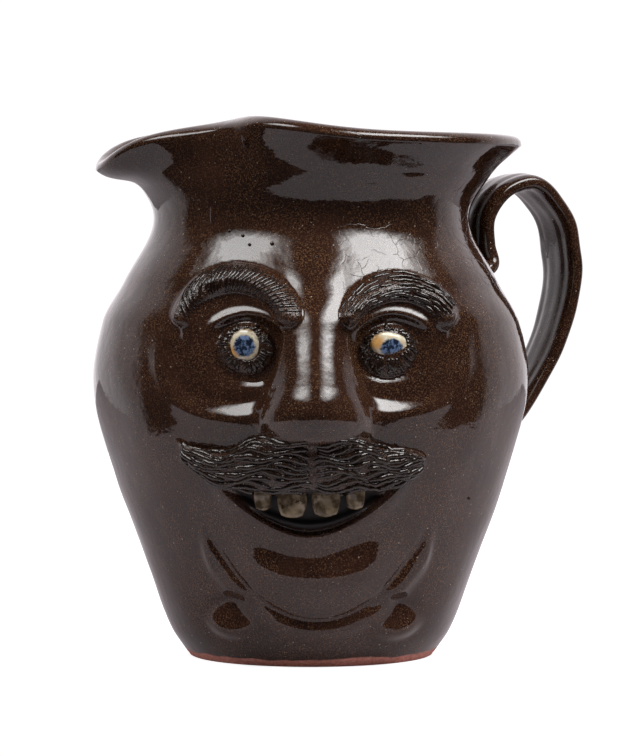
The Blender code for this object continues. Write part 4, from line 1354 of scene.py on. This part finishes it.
def mustache_guides(dice):
    """Long wavy strokes from the notch to the two tips."""
    lines = []
    for side in (LEFT, RIGHT):
        for number, row in enumerate(np.linspace(-0.92, 0.92, MUSTACHE_ROWS)):
            start = dice.uniform(0.0, 0.03)
            last = 0.97 - 0.08 * (number % 3)
            while start < last - 0.06:
                end = min(start + dice.uniform(0.16, 0.42), last)
                share = np.linspace(start, end, 34)
                base, top, _ = mustache_edges(side, share)
                drift = dice.normal(0, 0.07) * (share - start) / (end - start)
                wave = 0.09 * np.sin(2 * math.pi * (2.6 * share + 0.13 * number) + side)
                height = np.clip(row + drift + wave, -0.96, 0.96)
                z = (base + top) / 2 + height * (top - base) / 2
                x = MUSTACHE_NOTCH_X + side * share * MUSTACHE_REACH[side]
                lines.append(guide(x, z, -0.15 * mm))
                start = end + dice.uniform(-0.04, 0.01)
    return lines


print("Rows of strokes on each side of the mustache:", MUSTACHE_ROWS)

# %% Guides round the eyes
LASH_COUNT = 46
LASH_ROOT = (7.6 * mm, 6.2 * mm)


def lash_guides(eye, dice):
    """Short rough strokes that stand round the white of an eye on its ball."""
    lines = []
    shift = BALL_SHIFT[eye.side]
    turns = np.linspace(0, 2 * math.pi, LASH_COUNT, endpoint=False)
    for turn in turns + dice.uniform(-0.08, 0.08, LASH_COUNT):
        way = np.array([math.cos(turn), math.sin(turn)])
        near = np.array(eye.chip) + way * LASH_ROOT
        far = np.array(eye.chip) + shift + way * np.array(BALL_SIZE) * dice.uniform(0.78, 1.0)
        bend = dice.normal(0, 1.5 * mm) * np.array([-way[1], way[0]])
        t = np.linspace(0, 1, 12)[:, None]
        line = near + (far - near) * t + bend * t * (1 - t) * 4
        lines.append(guide(line[:, 0], line[:, 1], -0.25 * mm))
    return lines


print("Strokes round each eye:", LASH_COUNT)

# %% [markdown]
# ## Running the comb
# The guides become a mesh of bare edges. The node tree takes it in and gives back the ridges, which are
# then fixed as a plain mesh. Left as a modifier they could still be changed, but they would keep
# depending on the node tree.

# %% Comb along the guides
def comb_object(name, lines, thickness, wobble, unevenness, seed, material):
    """Ridges along guide lines, made by the comb's node tree and then fixed as a mesh."""
    points, edges = [], []
    for line in lines:
        first = len(points)
        points.extend(line.tolist())
        edges.extend((first + i, first + i + 1) for i in range(len(line) - 1))
    mesh = bpy.data.meshes.new(name)
    mesh.from_pydata(points, edges, [])
    obj = link(bpy.data.objects.new(name, mesh))
    nodes = obj.modifiers.new("Comb", "NODES")
    nodes.node_group = comb
    for key, value in zip(comb_inputs, (thickness, wobble, unevenness, COMB_STEP, seed, material)):
        nodes[comb_inputs[key]] = value
    bpy.context.view_layer.update()
    return baked(obj)


print("Every ridge takes a step each", COMB_STEP, "m")

# %% [markdown]
# ## The glaze
# The glaze is iron-rich and glassy. It is nearly black, with amber flecks where iron gathered, a few pale
# specks of grit and pinholes. An image could be wrapped round the pot, but it would show a seam and blur
# close by. Here all of it comes from noise on the object's own coordinates. The specks and pinholes are
# round dots in a share of the cells of a cell noise, in three sizes.

# %% Colours of the glaze
CLOUD_SCALE = 38.0
FLECK_SCALE = 1500.0
FLECK_EDGE = (0.50, 0.66)
GRIT = ((240.0, 0.085, 0.42), (420.0, 0.10, 0.26), (780.0, 0.13, 0.20))
GRIT_COLOUR = (0.40, 0.33, 0.25, 1)
PITS = (130.0, 0.055, 0.16)
PIT_COLOUR = (0.004, 0.003, 0.002, 1)


def dots(wires, vector, scale, radius, share):
    """Small round dots, only in a share of the cells."""
    cell = wires.cells(vector, scale)
    near = wires.step(cell["Distance"], radius * 0.7, radius, 1.0, 0.0)
    draw = wires.make("ShaderNodeSeparateColor", {0: cell["Color"]}).outputs[0]
    return wires.math("MULTIPLY", near, wires.math("LESS_THAN", draw, share))


def flecked(wires, place, given):
    """The clouded glaze colour with its fine flecks."""
    cloud = wires.step(wires.noise(place, CLOUD_SCALE, 3.0), 0.3, 0.7, 0.8, 1.25)
    fleck = wires.step(wires.noise(place, FLECK_SCALE, 2.0, 0.7), *FLECK_EDGE)
    fleck = wires.math("MULTIPLY", fleck, wires.step(wires.noise(place, 60.0), 0.35, 0.6, 0.45, 0.95))
    return wires.blend(fleck, wires.scale(given["Glaze"], cloud), given["Fleck"])


def grit_mask(wires, place):
    """1 on a pale speck and 0 beside it, from three sizes of dots."""
    grit = dots(wires, place, *GRIT[0])
    for size in GRIT[1:]:
        grit = wires.math("MAXIMUM", grit, dots(wires, place, *size))
    return grit


print("Sizes of grit:", len(GRIT))

# %% [markdown]
# ## Fine cracks
# Over the forehead the glaze has shrunk into a net of fine cracks, and here and there elsewhere. A net is
# what the borders of a cell noise look like, once its coordinates are bent a little so that no crack runs
# straight. Soft limits in height and to the side keep the net where it belongs, and more noise breaks it.

# %% Cracks
CRACK_SCALE = 105.0
CRACK_EDGE = (0.008, 0.028)
CRACK_BEND = 0.006
CRACKS_FROM = (0.160, 0.176)
CRACKS_TO = (0.196, 0.206)
CRACKS_RIGHT_OF = (0.0, 0.02)
CRACKS_AHEAD_OF = (-0.02, 0.0)
CRACK_COLOUR = (0.003, 0.002, 0.002, 1)


def crack_mask(wires, place):
    """How strongly a place is cracked."""
    bent = wires.make("ShaderNodeTexNoise", {"Vector": place, "Scale": 120.0}).outputs["Color"]
    warp = wires.vector("MULTIPLY_ADD", bent, (CRACK_BEND, CRACK_BEND, CRACK_BEND), place)
    edge = wires.cells(warp, CRACK_SCALE, "DISTANCE_TO_EDGE")["Distance"]
    crack = wires.step(edge, *CRACK_EDGE, 1.0, 0.0)
    at = wires.split(place)
    where = wires.step(at["Z"], *CRACKS_FROM)
    where = wires.math("MULTIPLY", where, wires.step(at["X"], *CRACKS_RIGHT_OF))
    where = wires.math("MULTIPLY", where, wires.step(at["Z"], *CRACKS_TO, 1.0, 0.0))
    where = wires.math("MULTIPLY", where, wires.step(at["Y"], *CRACKS_AHEAD_OF, 0.35, 0.0))
    some = wires.step(wires.noise(place, 30.0), 0.62, 0.68, 0.0, 0.35)
    crack = wires.math("MULTIPLY", crack, wires.math("MAXIMUM", where, some))
    return wires.math("MULTIPLY", crack, wires.step(wires.noise(place, 80.0), 0.42, 0.56))


print("Cracks between", CRACKS_FROM[0], "and", CRACKS_TO[1], "m")

# %% [markdown]
# ## The skin of the glaze, and the group
# Glaze is not flat like glass. It ripples over the clay in waves of a few sizes, stands up over grit, sinks
# into pinholes and cracks, and is broken up where the clay was combed. A bump shows all that without a
# vertex. The colours, the roughness and the height are gathered in one node group, so that the wall and
# the hair share it and differ only in their colours.

# %% A node group for the speckled glaze
SKIN_WAVES = ((55.0, 0.34 * mm), (170.0, 0.13 * mm), (620.0, 0.020 * mm))
GRIT_RISE = 0.05 * mm
PIT_DEPTH = 0.25 * mm
CRACK_DEPTH = 0.12 * mm
COMBED_DEPTH = 0.55 * mm


def skin_height(wires, place, given, grit, pits, crack):
    """Height of the glaze's skin over the clay."""
    height = 0.0
    for scale, depth in SKIN_WAVES:
        height = wires.math("MULTIPLY_ADD", wires.noise(place, scale), depth, height)
    scratch = wires.math("MULTIPLY", wires.noise(place, 700.0, 3.0, 0.6), given["Combed"])
    details = ((grit, GRIT_RISE), (pits, -PIT_DEPTH), (crack, -CRACK_DEPTH), (scratch, COMBED_DEPTH))
    for mask, depth in details:
        height = wires.math("MULTIPLY_ADD", mask, depth, height)
    return height


def speckle_group():
    """A node group that gives the glaze's colour, roughness and height."""
    tree = bpy.data.node_groups.new("speckled_glaze", "ShaderNodeTree")
    for name, kind in (("Glaze", "Color"), ("Fleck", "Color"), ("Combed", "Float")):
        socket(tree, name, kind, "INPUT")
    for name, kind in (("Color", "Color"), ("Roughness", "Float"), ("Height", "Float")):
        socket(tree, name, kind, "OUTPUT")
    wires = Wiring(tree)
    given = wires.make("NodeGroupInput").outputs
    place = wires.make("ShaderNodeTexCoord").outputs["Object"]
    grit = grit_mask(wires, place)
    pits = dots(wires, place, *PITS)
    crack = crack_mask(wires, place)
    colour = wires.blend(wires.math("MULTIPLY", grit, 0.85), flecked(wires, place, given), GRIT_COLOUR)
    colour = wires.blend(pits, colour, PIT_COLOUR)
    colour = wires.blend(wires.math("MULTIPLY", crack, 0.7), colour, CRACK_COLOUR)
    rough = wires.step(wires.noise(place, 45.0), 0.3, 0.7, 0.045, 0.085)
    rough = wires.math("MULTIPLY_ADD", crack, 0.3, rough)
    height = skin_height(wires, place, given, grit, pits, crack)
    wires.make("NodeGroupOutput", {"Color": colour, "Roughness": rough, "Height": height})
    return tree


speckle = speckle_group()
print("The glaze's tree has", len(speckle.nodes), "nodes")

# %% [markdown]
# ## The brown glaze on the wall and on the hair
# The wall and the combed hair wear the same glaze, only darker on the hair. On the wall it ends a little
# above the foot in a wavy line, and bare red clay shows below. The potter wipes it off there, so that the
# pot does not stick in the kiln. A second material with a border through the mesh would cut that line into
# steps, so one material blends from glaze to clay by height. The inside of the mouth is painted nearly
# black as shade and made dull, and a number stored at each vertex says where.

# %% Brown glazes
GLAZE_IOR = 1.52
# Painted shade: the inside of the mouth is painted nearly black.
MOUTH_SHADE_COLOUR = (0.003, 0.002, 0.0015, 1)
MOUTH_ROUGHNESS = 0.75
BARE_ROUGHNESS = 0.75
BARE_HEIGHT = 1.3 * mm
BARE_WAVE = 4.6 * mm
CLAY_COLOURS = ((0.46, 0.17, 0.125, 1), (0.70, 0.30, 0.23, 1))


def rougher(wires, rough, mask, least):
    """Roughness that is at least that much where the mask is 1."""
    return wires.math("MAXIMUM", rough, wires.math("MULTIPLY", mask, least))


def bare_clay_and_mouth_shade(wires, spots):
    """(colour, roughness) with painted shade inside the mouth, and bare clay below the glaze line."""
    # Painted shade: inside the mouth the colour is painted nearly black and the glaze made dull.
    mouth = wires.make("ShaderNodeAttribute", attribute_name="mouth_shade_share").outputs["Fac"]
    colour = wires.blend(mouth, spots["Color"], MOUTH_SHADE_COLOUR)
    rough = rougher(wires, spots["Roughness"], mouth, MOUTH_ROUGHNESS)
    place = wires.make("ShaderNodeTexCoord").outputs["Object"]
    wave = wires.math("MULTIPLY_ADD", wires.noise(place, 45.0, 3.0), BARE_WAVE, BARE_HEIGHT)
    line = wires.math("SUBTRACT", wires.split(place)["Z"], wave)
    bare = wires.step(line, -0.6 * mm, 0.4 * mm, 1.0, 0.0)
    grain = wires.step(wires.noise(place, 700.0, 4.0, 0.7), 0.3, 0.7)
    colour = wires.blend(bare, colour, wires.blend(grain, *CLAY_COLOURS))
    return colour, rougher(wires, rough, bare, BARE_ROUGHNESS)


def glazed(name, glaze_colour, fleck_colour, combed=None):
    """The speckled glaze. Without a fixed share of combing it is the wall's, which reads it per vertex."""
    material, wires, shader = new_material(name)
    on_wall = combed is None
    if on_wall:
        combed = wires.make("ShaderNodeAttribute", attribute_name="combed").outputs["Fac"]
    inputs = {"Glaze": glaze_colour, "Fleck": fleck_colour, "Combed": combed}
    spots = wires.make("ShaderNodeGroup", inputs, node_tree=speckle).outputs
    colour, rough = bare_clay_and_mouth_shade(wires, spots) if on_wall else (spots["Color"], spots["Roughness"])
    wires.fill(shader, {"Base Color": colour, "Roughness": rough, "IOR": GLAZE_IOR})
    wires.fill(shader, {"Normal": wires.bump(spots["Height"])})
    return material


brown = glazed("brown_glaze_wall", (0.026, 0.0102, 0.0061, 1), (0.135, 0.068, 0.033, 1))
hair = glazed("brown_glaze_hair", (0.013, 0.0065, 0.0042, 1), (0.055, 0.028, 0.014, 1), 0.35)
print("Glazes made:", brown.name, hair.name)

# %% [markdown]
# ## Combing
# Now the comb goes over the clay. The lashes are short rough strokes, the left brow has neat ones, and the
# mustache has the thickest. Each row says the piece's name, its guides, how thick, wobbly and uneven its
# ridges are, and its seed. One node tree makes all five, and each piece has random numbers of its own, so
# that one can be changed without moving the others.

# %% Comb the brows, the mustache and the balls of the eyes
def new_dice(number):
    """Random numbers that are the same at every run."""
    return np.random.default_rng(number)


COMBED = (
    ("left_eye_ridges", lash_guides(left_eye, new_dice(14)), 0.85 * mm, 0.55 * mm, 1.2, 5),
    ("right_eye_ridges", lash_guides(right_eye, new_dice(15)), 0.85 * mm, 0.55 * mm, 1.2, 6),
    ("left_brow_ridges", left_brow_guides(new_dice(11)), 0.80 * mm, 0.16 * mm, 0.5, 2),
    ("right_brow_ridges", right_brow_guides(new_dice(12)), 0.85 * mm, 0.40 * mm, 0.6, 3),
    ("mustache_ridges", mustache_guides(new_dice(13)), 1.05 * mm, 0.45 * mm, 1.0, 4),
)
combed_pieces = [comb_object(*row, hair) for row in COMBED]
for ridges in combed_pieces:
    print(ridges.name, "has", len(ridges.data.polygons), "faces")

# %% [markdown]
# ## The eyes
# Each eye is a lens of white clay pressed into the dark ball. Glaze crept over its edge, so the white has
# an uneven outline. The lens is a flattened sphere, and its own coordinates are stored on it so that the
# pupil can be painted by distance from its centre. A flat disc would be simpler, but the eyes bulge and
# catch a highlight.

# %% The eyes' lenses
EYE_CHIP_THICKNESS = 4.4 * mm
EYE_CHIP_PROUD = 1.2 * mm
EYE_UNEVENNESS = 0.05
LEFT_WHITE = (7.2 * mm, 6.8 * mm)
RIGHT_WHITE = (8.4 * mm, 5.6 * mm)


def outward_at(x, z):
    """The direction that the plain wall faces at (x, z), and a level direction across it."""
    turn = math.asin(x / (float(wall_radius(z)) + FACE_LIFT))
    out = Vector((math.sin(turn), -math.cos(turn), 0))
    return out, Vector((math.cos(turn), math.sin(turn), 0))


def set_in_place(mesh, name, shape, middle, out, across):
    """An object whose local x runs across, y up and z out of the wall, with those kept as `own`."""
    up = out.cross(across)
    places = middle + shape @ np.array([across, up, out])
    mesh.vertices.foreach_set("co", places.astype(np.float32).ravel())
    own = mesh.attributes.new("own", "FLOAT_VECTOR", "POINT")
    own.data.foreach_set("vector", shape.astype(np.float32).ravel())
    mesh.shade_smooth()
    mesh.update()
    return link(bpy.data.objects.new(name, mesh))


def eye_lens(name, eye, half_width, half_height, seed):
    """A flattened sphere with an uneven outline, set into the ball of the eye."""
    clay = bmesh.new()
    bmesh.ops.create_uvsphere(clay, u_segments=64, v_segments=26, radius=1.0)
    mesh = bpy.data.meshes.new(name)
    clay.to_mesh(mesh)
    clay.free()
    ball = coordinates(mesh)
    phase = np.random.default_rng(seed).uniform(0, 2 * math.pi, 4)
    turn = np.arctan2(ball[:, 1], ball[:, 0])
    edge = 1 + sum(EYE_UNEVENNESS / (n + 1) * np.sin((n + 2) * turn + phase[n]) for n in range(4))
    shape = ball * [half_width, half_height, EYE_CHIP_THICKNESS / 2]
    shape[:, :2] *= edge[:, None]
    out, across = outward_at(*eye.chip)
    middle = face_points(*eye.chip, EYE_CHIP_PROUD - EYE_CHIP_THICKNESS / 2)
    return set_in_place(mesh, name, shape, middle, out, across)


left_lens = eye_lens("left_eye_lens", left_eye, *LEFT_WHITE, 21)
right_lens = eye_lens("right_eye_lens", right_eye, *RIGHT_WHITE, 22)
print("Eyes made:", left_lens.name, right_lens.name)

# %% [markdown]
# ## The eyes' glaze
# The white is a cream glaze, clouded with ochre, with a cobalt spot for the pupil, a warm stain where the
# brown crept in, and a brown rim. The spots were dabbed on with a brush and ran a little in the kiln. So
# each is an oval by distance, whose edge is made uneven by noise, over the lens's own coordinates.

# %% Paint the eyes
EYE_IOR = 1.5
EYE_ROUGHNESS = 0.12
EYE_WAVES = 0.12 * mm
BLUES = ((0.010, 0.017, 0.036, 1), (0.15, 0.23, 0.40, 1))
CREAMS = ((0.78, 0.74, 0.60, 1), (0.66, 0.54, 0.34, 1))
STAIN_COLOUR = (0.66, 0.36, 0.12, 1)
STAIN_SIZE = (3.5 * mm, 3.0 * mm)
RIM_COLOUR = (0.16, 0.085, 0.03, 1)
RIM_SHARE = 0.97


def spot(wires, own, wobble, middle, size, soft):
    """1 inside a dabbed oval with an uneven, soft edge, and 0 outside."""
    shift = wires.vector("SUBTRACT", own, (middle[0], middle[1], 0))
    away = wires.vector("LENGTH", wires.vector("MULTIPLY", shift, (1 / size[0], 1 / size[1], 0)))
    away = wires.math("MULTIPLY_ADD", wobble, 0.5, wires.math("SUBTRACT", away, 0.25))
    return wires.step(away, 1 - soft, 1 + soft, 1.0, 0.0)


def eye_material(name, size, pupil_at, pupil_size, stain_at):
    """White glaze with a mottled cobalt spot and a warm stain where the brown crept in."""
    material, wires, shader = new_material(name)
    own = wires.make("ShaderNodeAttribute", attribute_name="own").outputs["Vector"]
    wobble = wires.noise(own, 700.0, 3.0, 0.6)
    pupil = spot(wires, own, wobble, pupil_at, pupil_size, 0.12)
    stain = spot(wires, own, wobble, stain_at, STAIN_SIZE, 0.5)
    inside = spot(wires, own, wobble, (0, 0), (RIM_SHARE * size[0], RIM_SHARE * size[1]), 0.16)
    blue = wires.blend(wires.step(wires.noise(own, 430.0, 3.0, 0.65), 0.45, 0.62), *BLUES)
    white = wires.blend(wires.step(wires.noise(own, 350.0, 2.0), 0.35, 0.7), *CREAMS)
    white = wires.blend(stain, white, STAIN_COLOUR)
    white = wires.blend(wires.math("SUBTRACT", 1.0, inside), white, RIM_COLOUR)
    wires.fill(shader, {"Base Color": wires.blend(pupil, white, blue), "Roughness": EYE_ROUGHNESS})
    height = wires.math("MULTIPLY", wires.noise(own, 600.0, 2.0), EYE_WAVES)
    wires.fill(shader, {"Normal": wires.bump(height), "IOR": EYE_IOR})
    return material


LEFT_SPOTS = ((0.4 * mm, -0.2 * mm), (4.9 * mm, 4.7 * mm), (-5.5 * mm, -3.5 * mm))
RIGHT_SPOTS = ((0.8 * mm, -1.6 * mm), (5.2 * mm, 4.1 * mm), (-6.6 * mm, 1.0 * mm))
left_lens.data.materials.append(eye_material("left_eye_glaze", LEFT_WHITE, *LEFT_SPOTS))
right_lens.data.materials.append(eye_material("right_eye_glaze", RIGHT_WHITE, *RIGHT_SPOTS))
print("Eyes painted:", left_lens.data.materials[0].name, right_lens.data.materials[0].name)

# %% [markdown]
# ## The teeth
# Four blocks of paler clay are pushed up into the gum under the mustache, dented by the fingers that placed
# them. Plain cubes would be too sharp and spheres too round. So the points of a finely cut cube are drawn
# part of the way towards a sphere, and the front is made uneven.

# %% Teeth
TOOTH_PLACES = (-21.4 * mm, -8.3 * mm, 6.8 * mm, 20.0 * mm)
TOOTH_WIDTHS = (7.8 * mm, 13.0 * mm, 12.6 * mm, 8.6 * mm)
TOOTH_DROPS = (7.6 * mm, 10.6 * mm, 10.1 * mm, 7.0 * mm)
TOOTH_THICKNESS = 5.0 * mm
TOOTH_ROOT = 5.0 * mm
TOOTH_SETBACK = 0.8 * mm
TOOTH_CUTS = 13
TOOTH_ROUNDNESS = 0.45
TOOTH_TAPER = 0.14
TOOTH_WAVER = 0.35 * mm
TOOTH_WAVER_SIZE = 5.0 * mm
DENT_DEPTH = 0.5 * mm
DENT_WIDTH = 3.0 * mm
DENT_DROP = 2.0 * mm


def make_tooth(index):
    """A rounded block with dents in its front, whose root is set up into the gum."""
    name = f"tooth_block_{index + 1}"
    clay = bmesh.new()
    bmesh.ops.create_cube(clay, size=2.0)
    bmesh.ops.subdivide_edges(clay, edges=clay.edges, cuts=TOOTH_CUTS, use_grid_fill=True)
    mesh = bpy.data.meshes.new(name)
    clay.to_mesh(mesh)
    clay.free()
    cube = coordinates(mesh)
    far = np.linalg.norm(cube, axis=1, keepdims=True)
    most = np.abs(cube).max(axis=1, keepdims=True)
    height = TOOTH_ROOT + TOOTH_DROPS[index]
    size = np.array([TOOTH_WIDTHS[index], height, TOOTH_THICKNESS])
    shape = cube * (most / far) ** TOOTH_ROUNDNESS * size / 2
    shape[:, 0] *= 1 - TOOTH_TAPER * np.clip(-cube[:, 1], 0, 1) ** 2
    front = ease((cube[:, 2] + 0.2) / 0.8)
    shape[:, 2] += uneven(shape + index, TOOTH_WAVER_SIZE, TOOTH_WAVER, 30 + index) * front
    from_dent = np.hypot(shape[:, 0], shape[:, 1] + DENT_DROP)
    shape[:, 2] -= DENT_DEPTH * front * bell(from_dent, DENT_WIDTH)
    x = TOOTH_PLACES[index]
    z = MOUTH_TOP + TOOTH_ROOT - height / 2
    out, across = outward_at(x, z)
    radius = float(wall_radius(MOUTH_TOP)) + TOOTH_SETBACK + TOOTH_THICKNESS / 2
    return set_in_place(mesh, name, shape, np.array([out.x * radius, out.y * radius, z]), out, across)


teeth = [make_tooth(index) for index in range(len(TOOTH_PLACES))]
print("Teeth made:", len(teeth))

# %% [markdown]
# ## The teeth's glaze
# The teeth wear a thin olive glaze. It is clouded, because the pale clay shows through where the glaze is
# thin, and brown where it pooled. Two soft steps over noise give both, on the object's coordinates, so that
# no two teeth are alike although they share one material.

# %% Glaze the teeth
OLIVES = ((0.085, 0.060, 0.034, 1), (0.27, 0.21, 0.135, 1))
POOL_COLOUR = (0.040, 0.021, 0.009, 1)
TOOTH_GLAZE_ROUGHNESS = 0.14
TOOTH_GLAZE_WAVES = 0.25 * mm


def tooth_material():
    """A thin olive glaze over pale clay, with brown where it pooled."""
    material, wires, shader = new_material("olive_tooth_glaze")
    place = wires.make("ShaderNodeTexCoord").outputs["Object"]
    colour = wires.blend(wires.step(wires.noise(place, 260.0, 3.0), 0.36, 0.64), *OLIVES)
    pool = wires.step(wires.noise(place, 300.0, 3.0, 0.6), 0.58, 0.72)
    colour = wires.blend(pool, colour, POOL_COLOUR)
    height = wires.math("MULTIPLY", wires.noise(place, 330.0, 2.0), TOOTH_GLAZE_WAVES)
    wires.fill(shader, {"Base Color": colour, "Roughness": TOOTH_GLAZE_ROUGHNESS})
    wires.fill(shader, {"Normal": wires.bump(height), "IOR": EYE_IOR})
    return material


tooth_glaze = tooth_material()
for block in teeth:
    block.data.materials.append(tooth_glaze)
print("Teeth glazed with", tooth_glaze.name)

# %% [markdown]
# ## Tying the surfaces to the frame
# Each surface says which body it moves with and which solid of the frame it replaces, and the wall, the
# handle and the drops get the brown glaze. The pot is one rigid body, so everything rides on its root.

# %% Ties
for piece in (pot, handle, drops):
    piece.data.materials.clear()
    piece.data.materials.append(brown)
for piece in [pot, handle, drops] + combed_pieces:
    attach(piece, "root")
    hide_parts("jug")
for piece, node in ((left_lens, "left_eye"), (right_lens, "right_eye")):
    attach(piece, "root")
    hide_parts(node)
for index, piece in enumerate(teeth):
    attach(piece, "root")
    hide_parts(f"tooth_{index + 1}")
tied = [pot, handle, drops, *combed_pieces, left_lens, right_lens, *teeth]
print("Pieces tied:", len(tied))
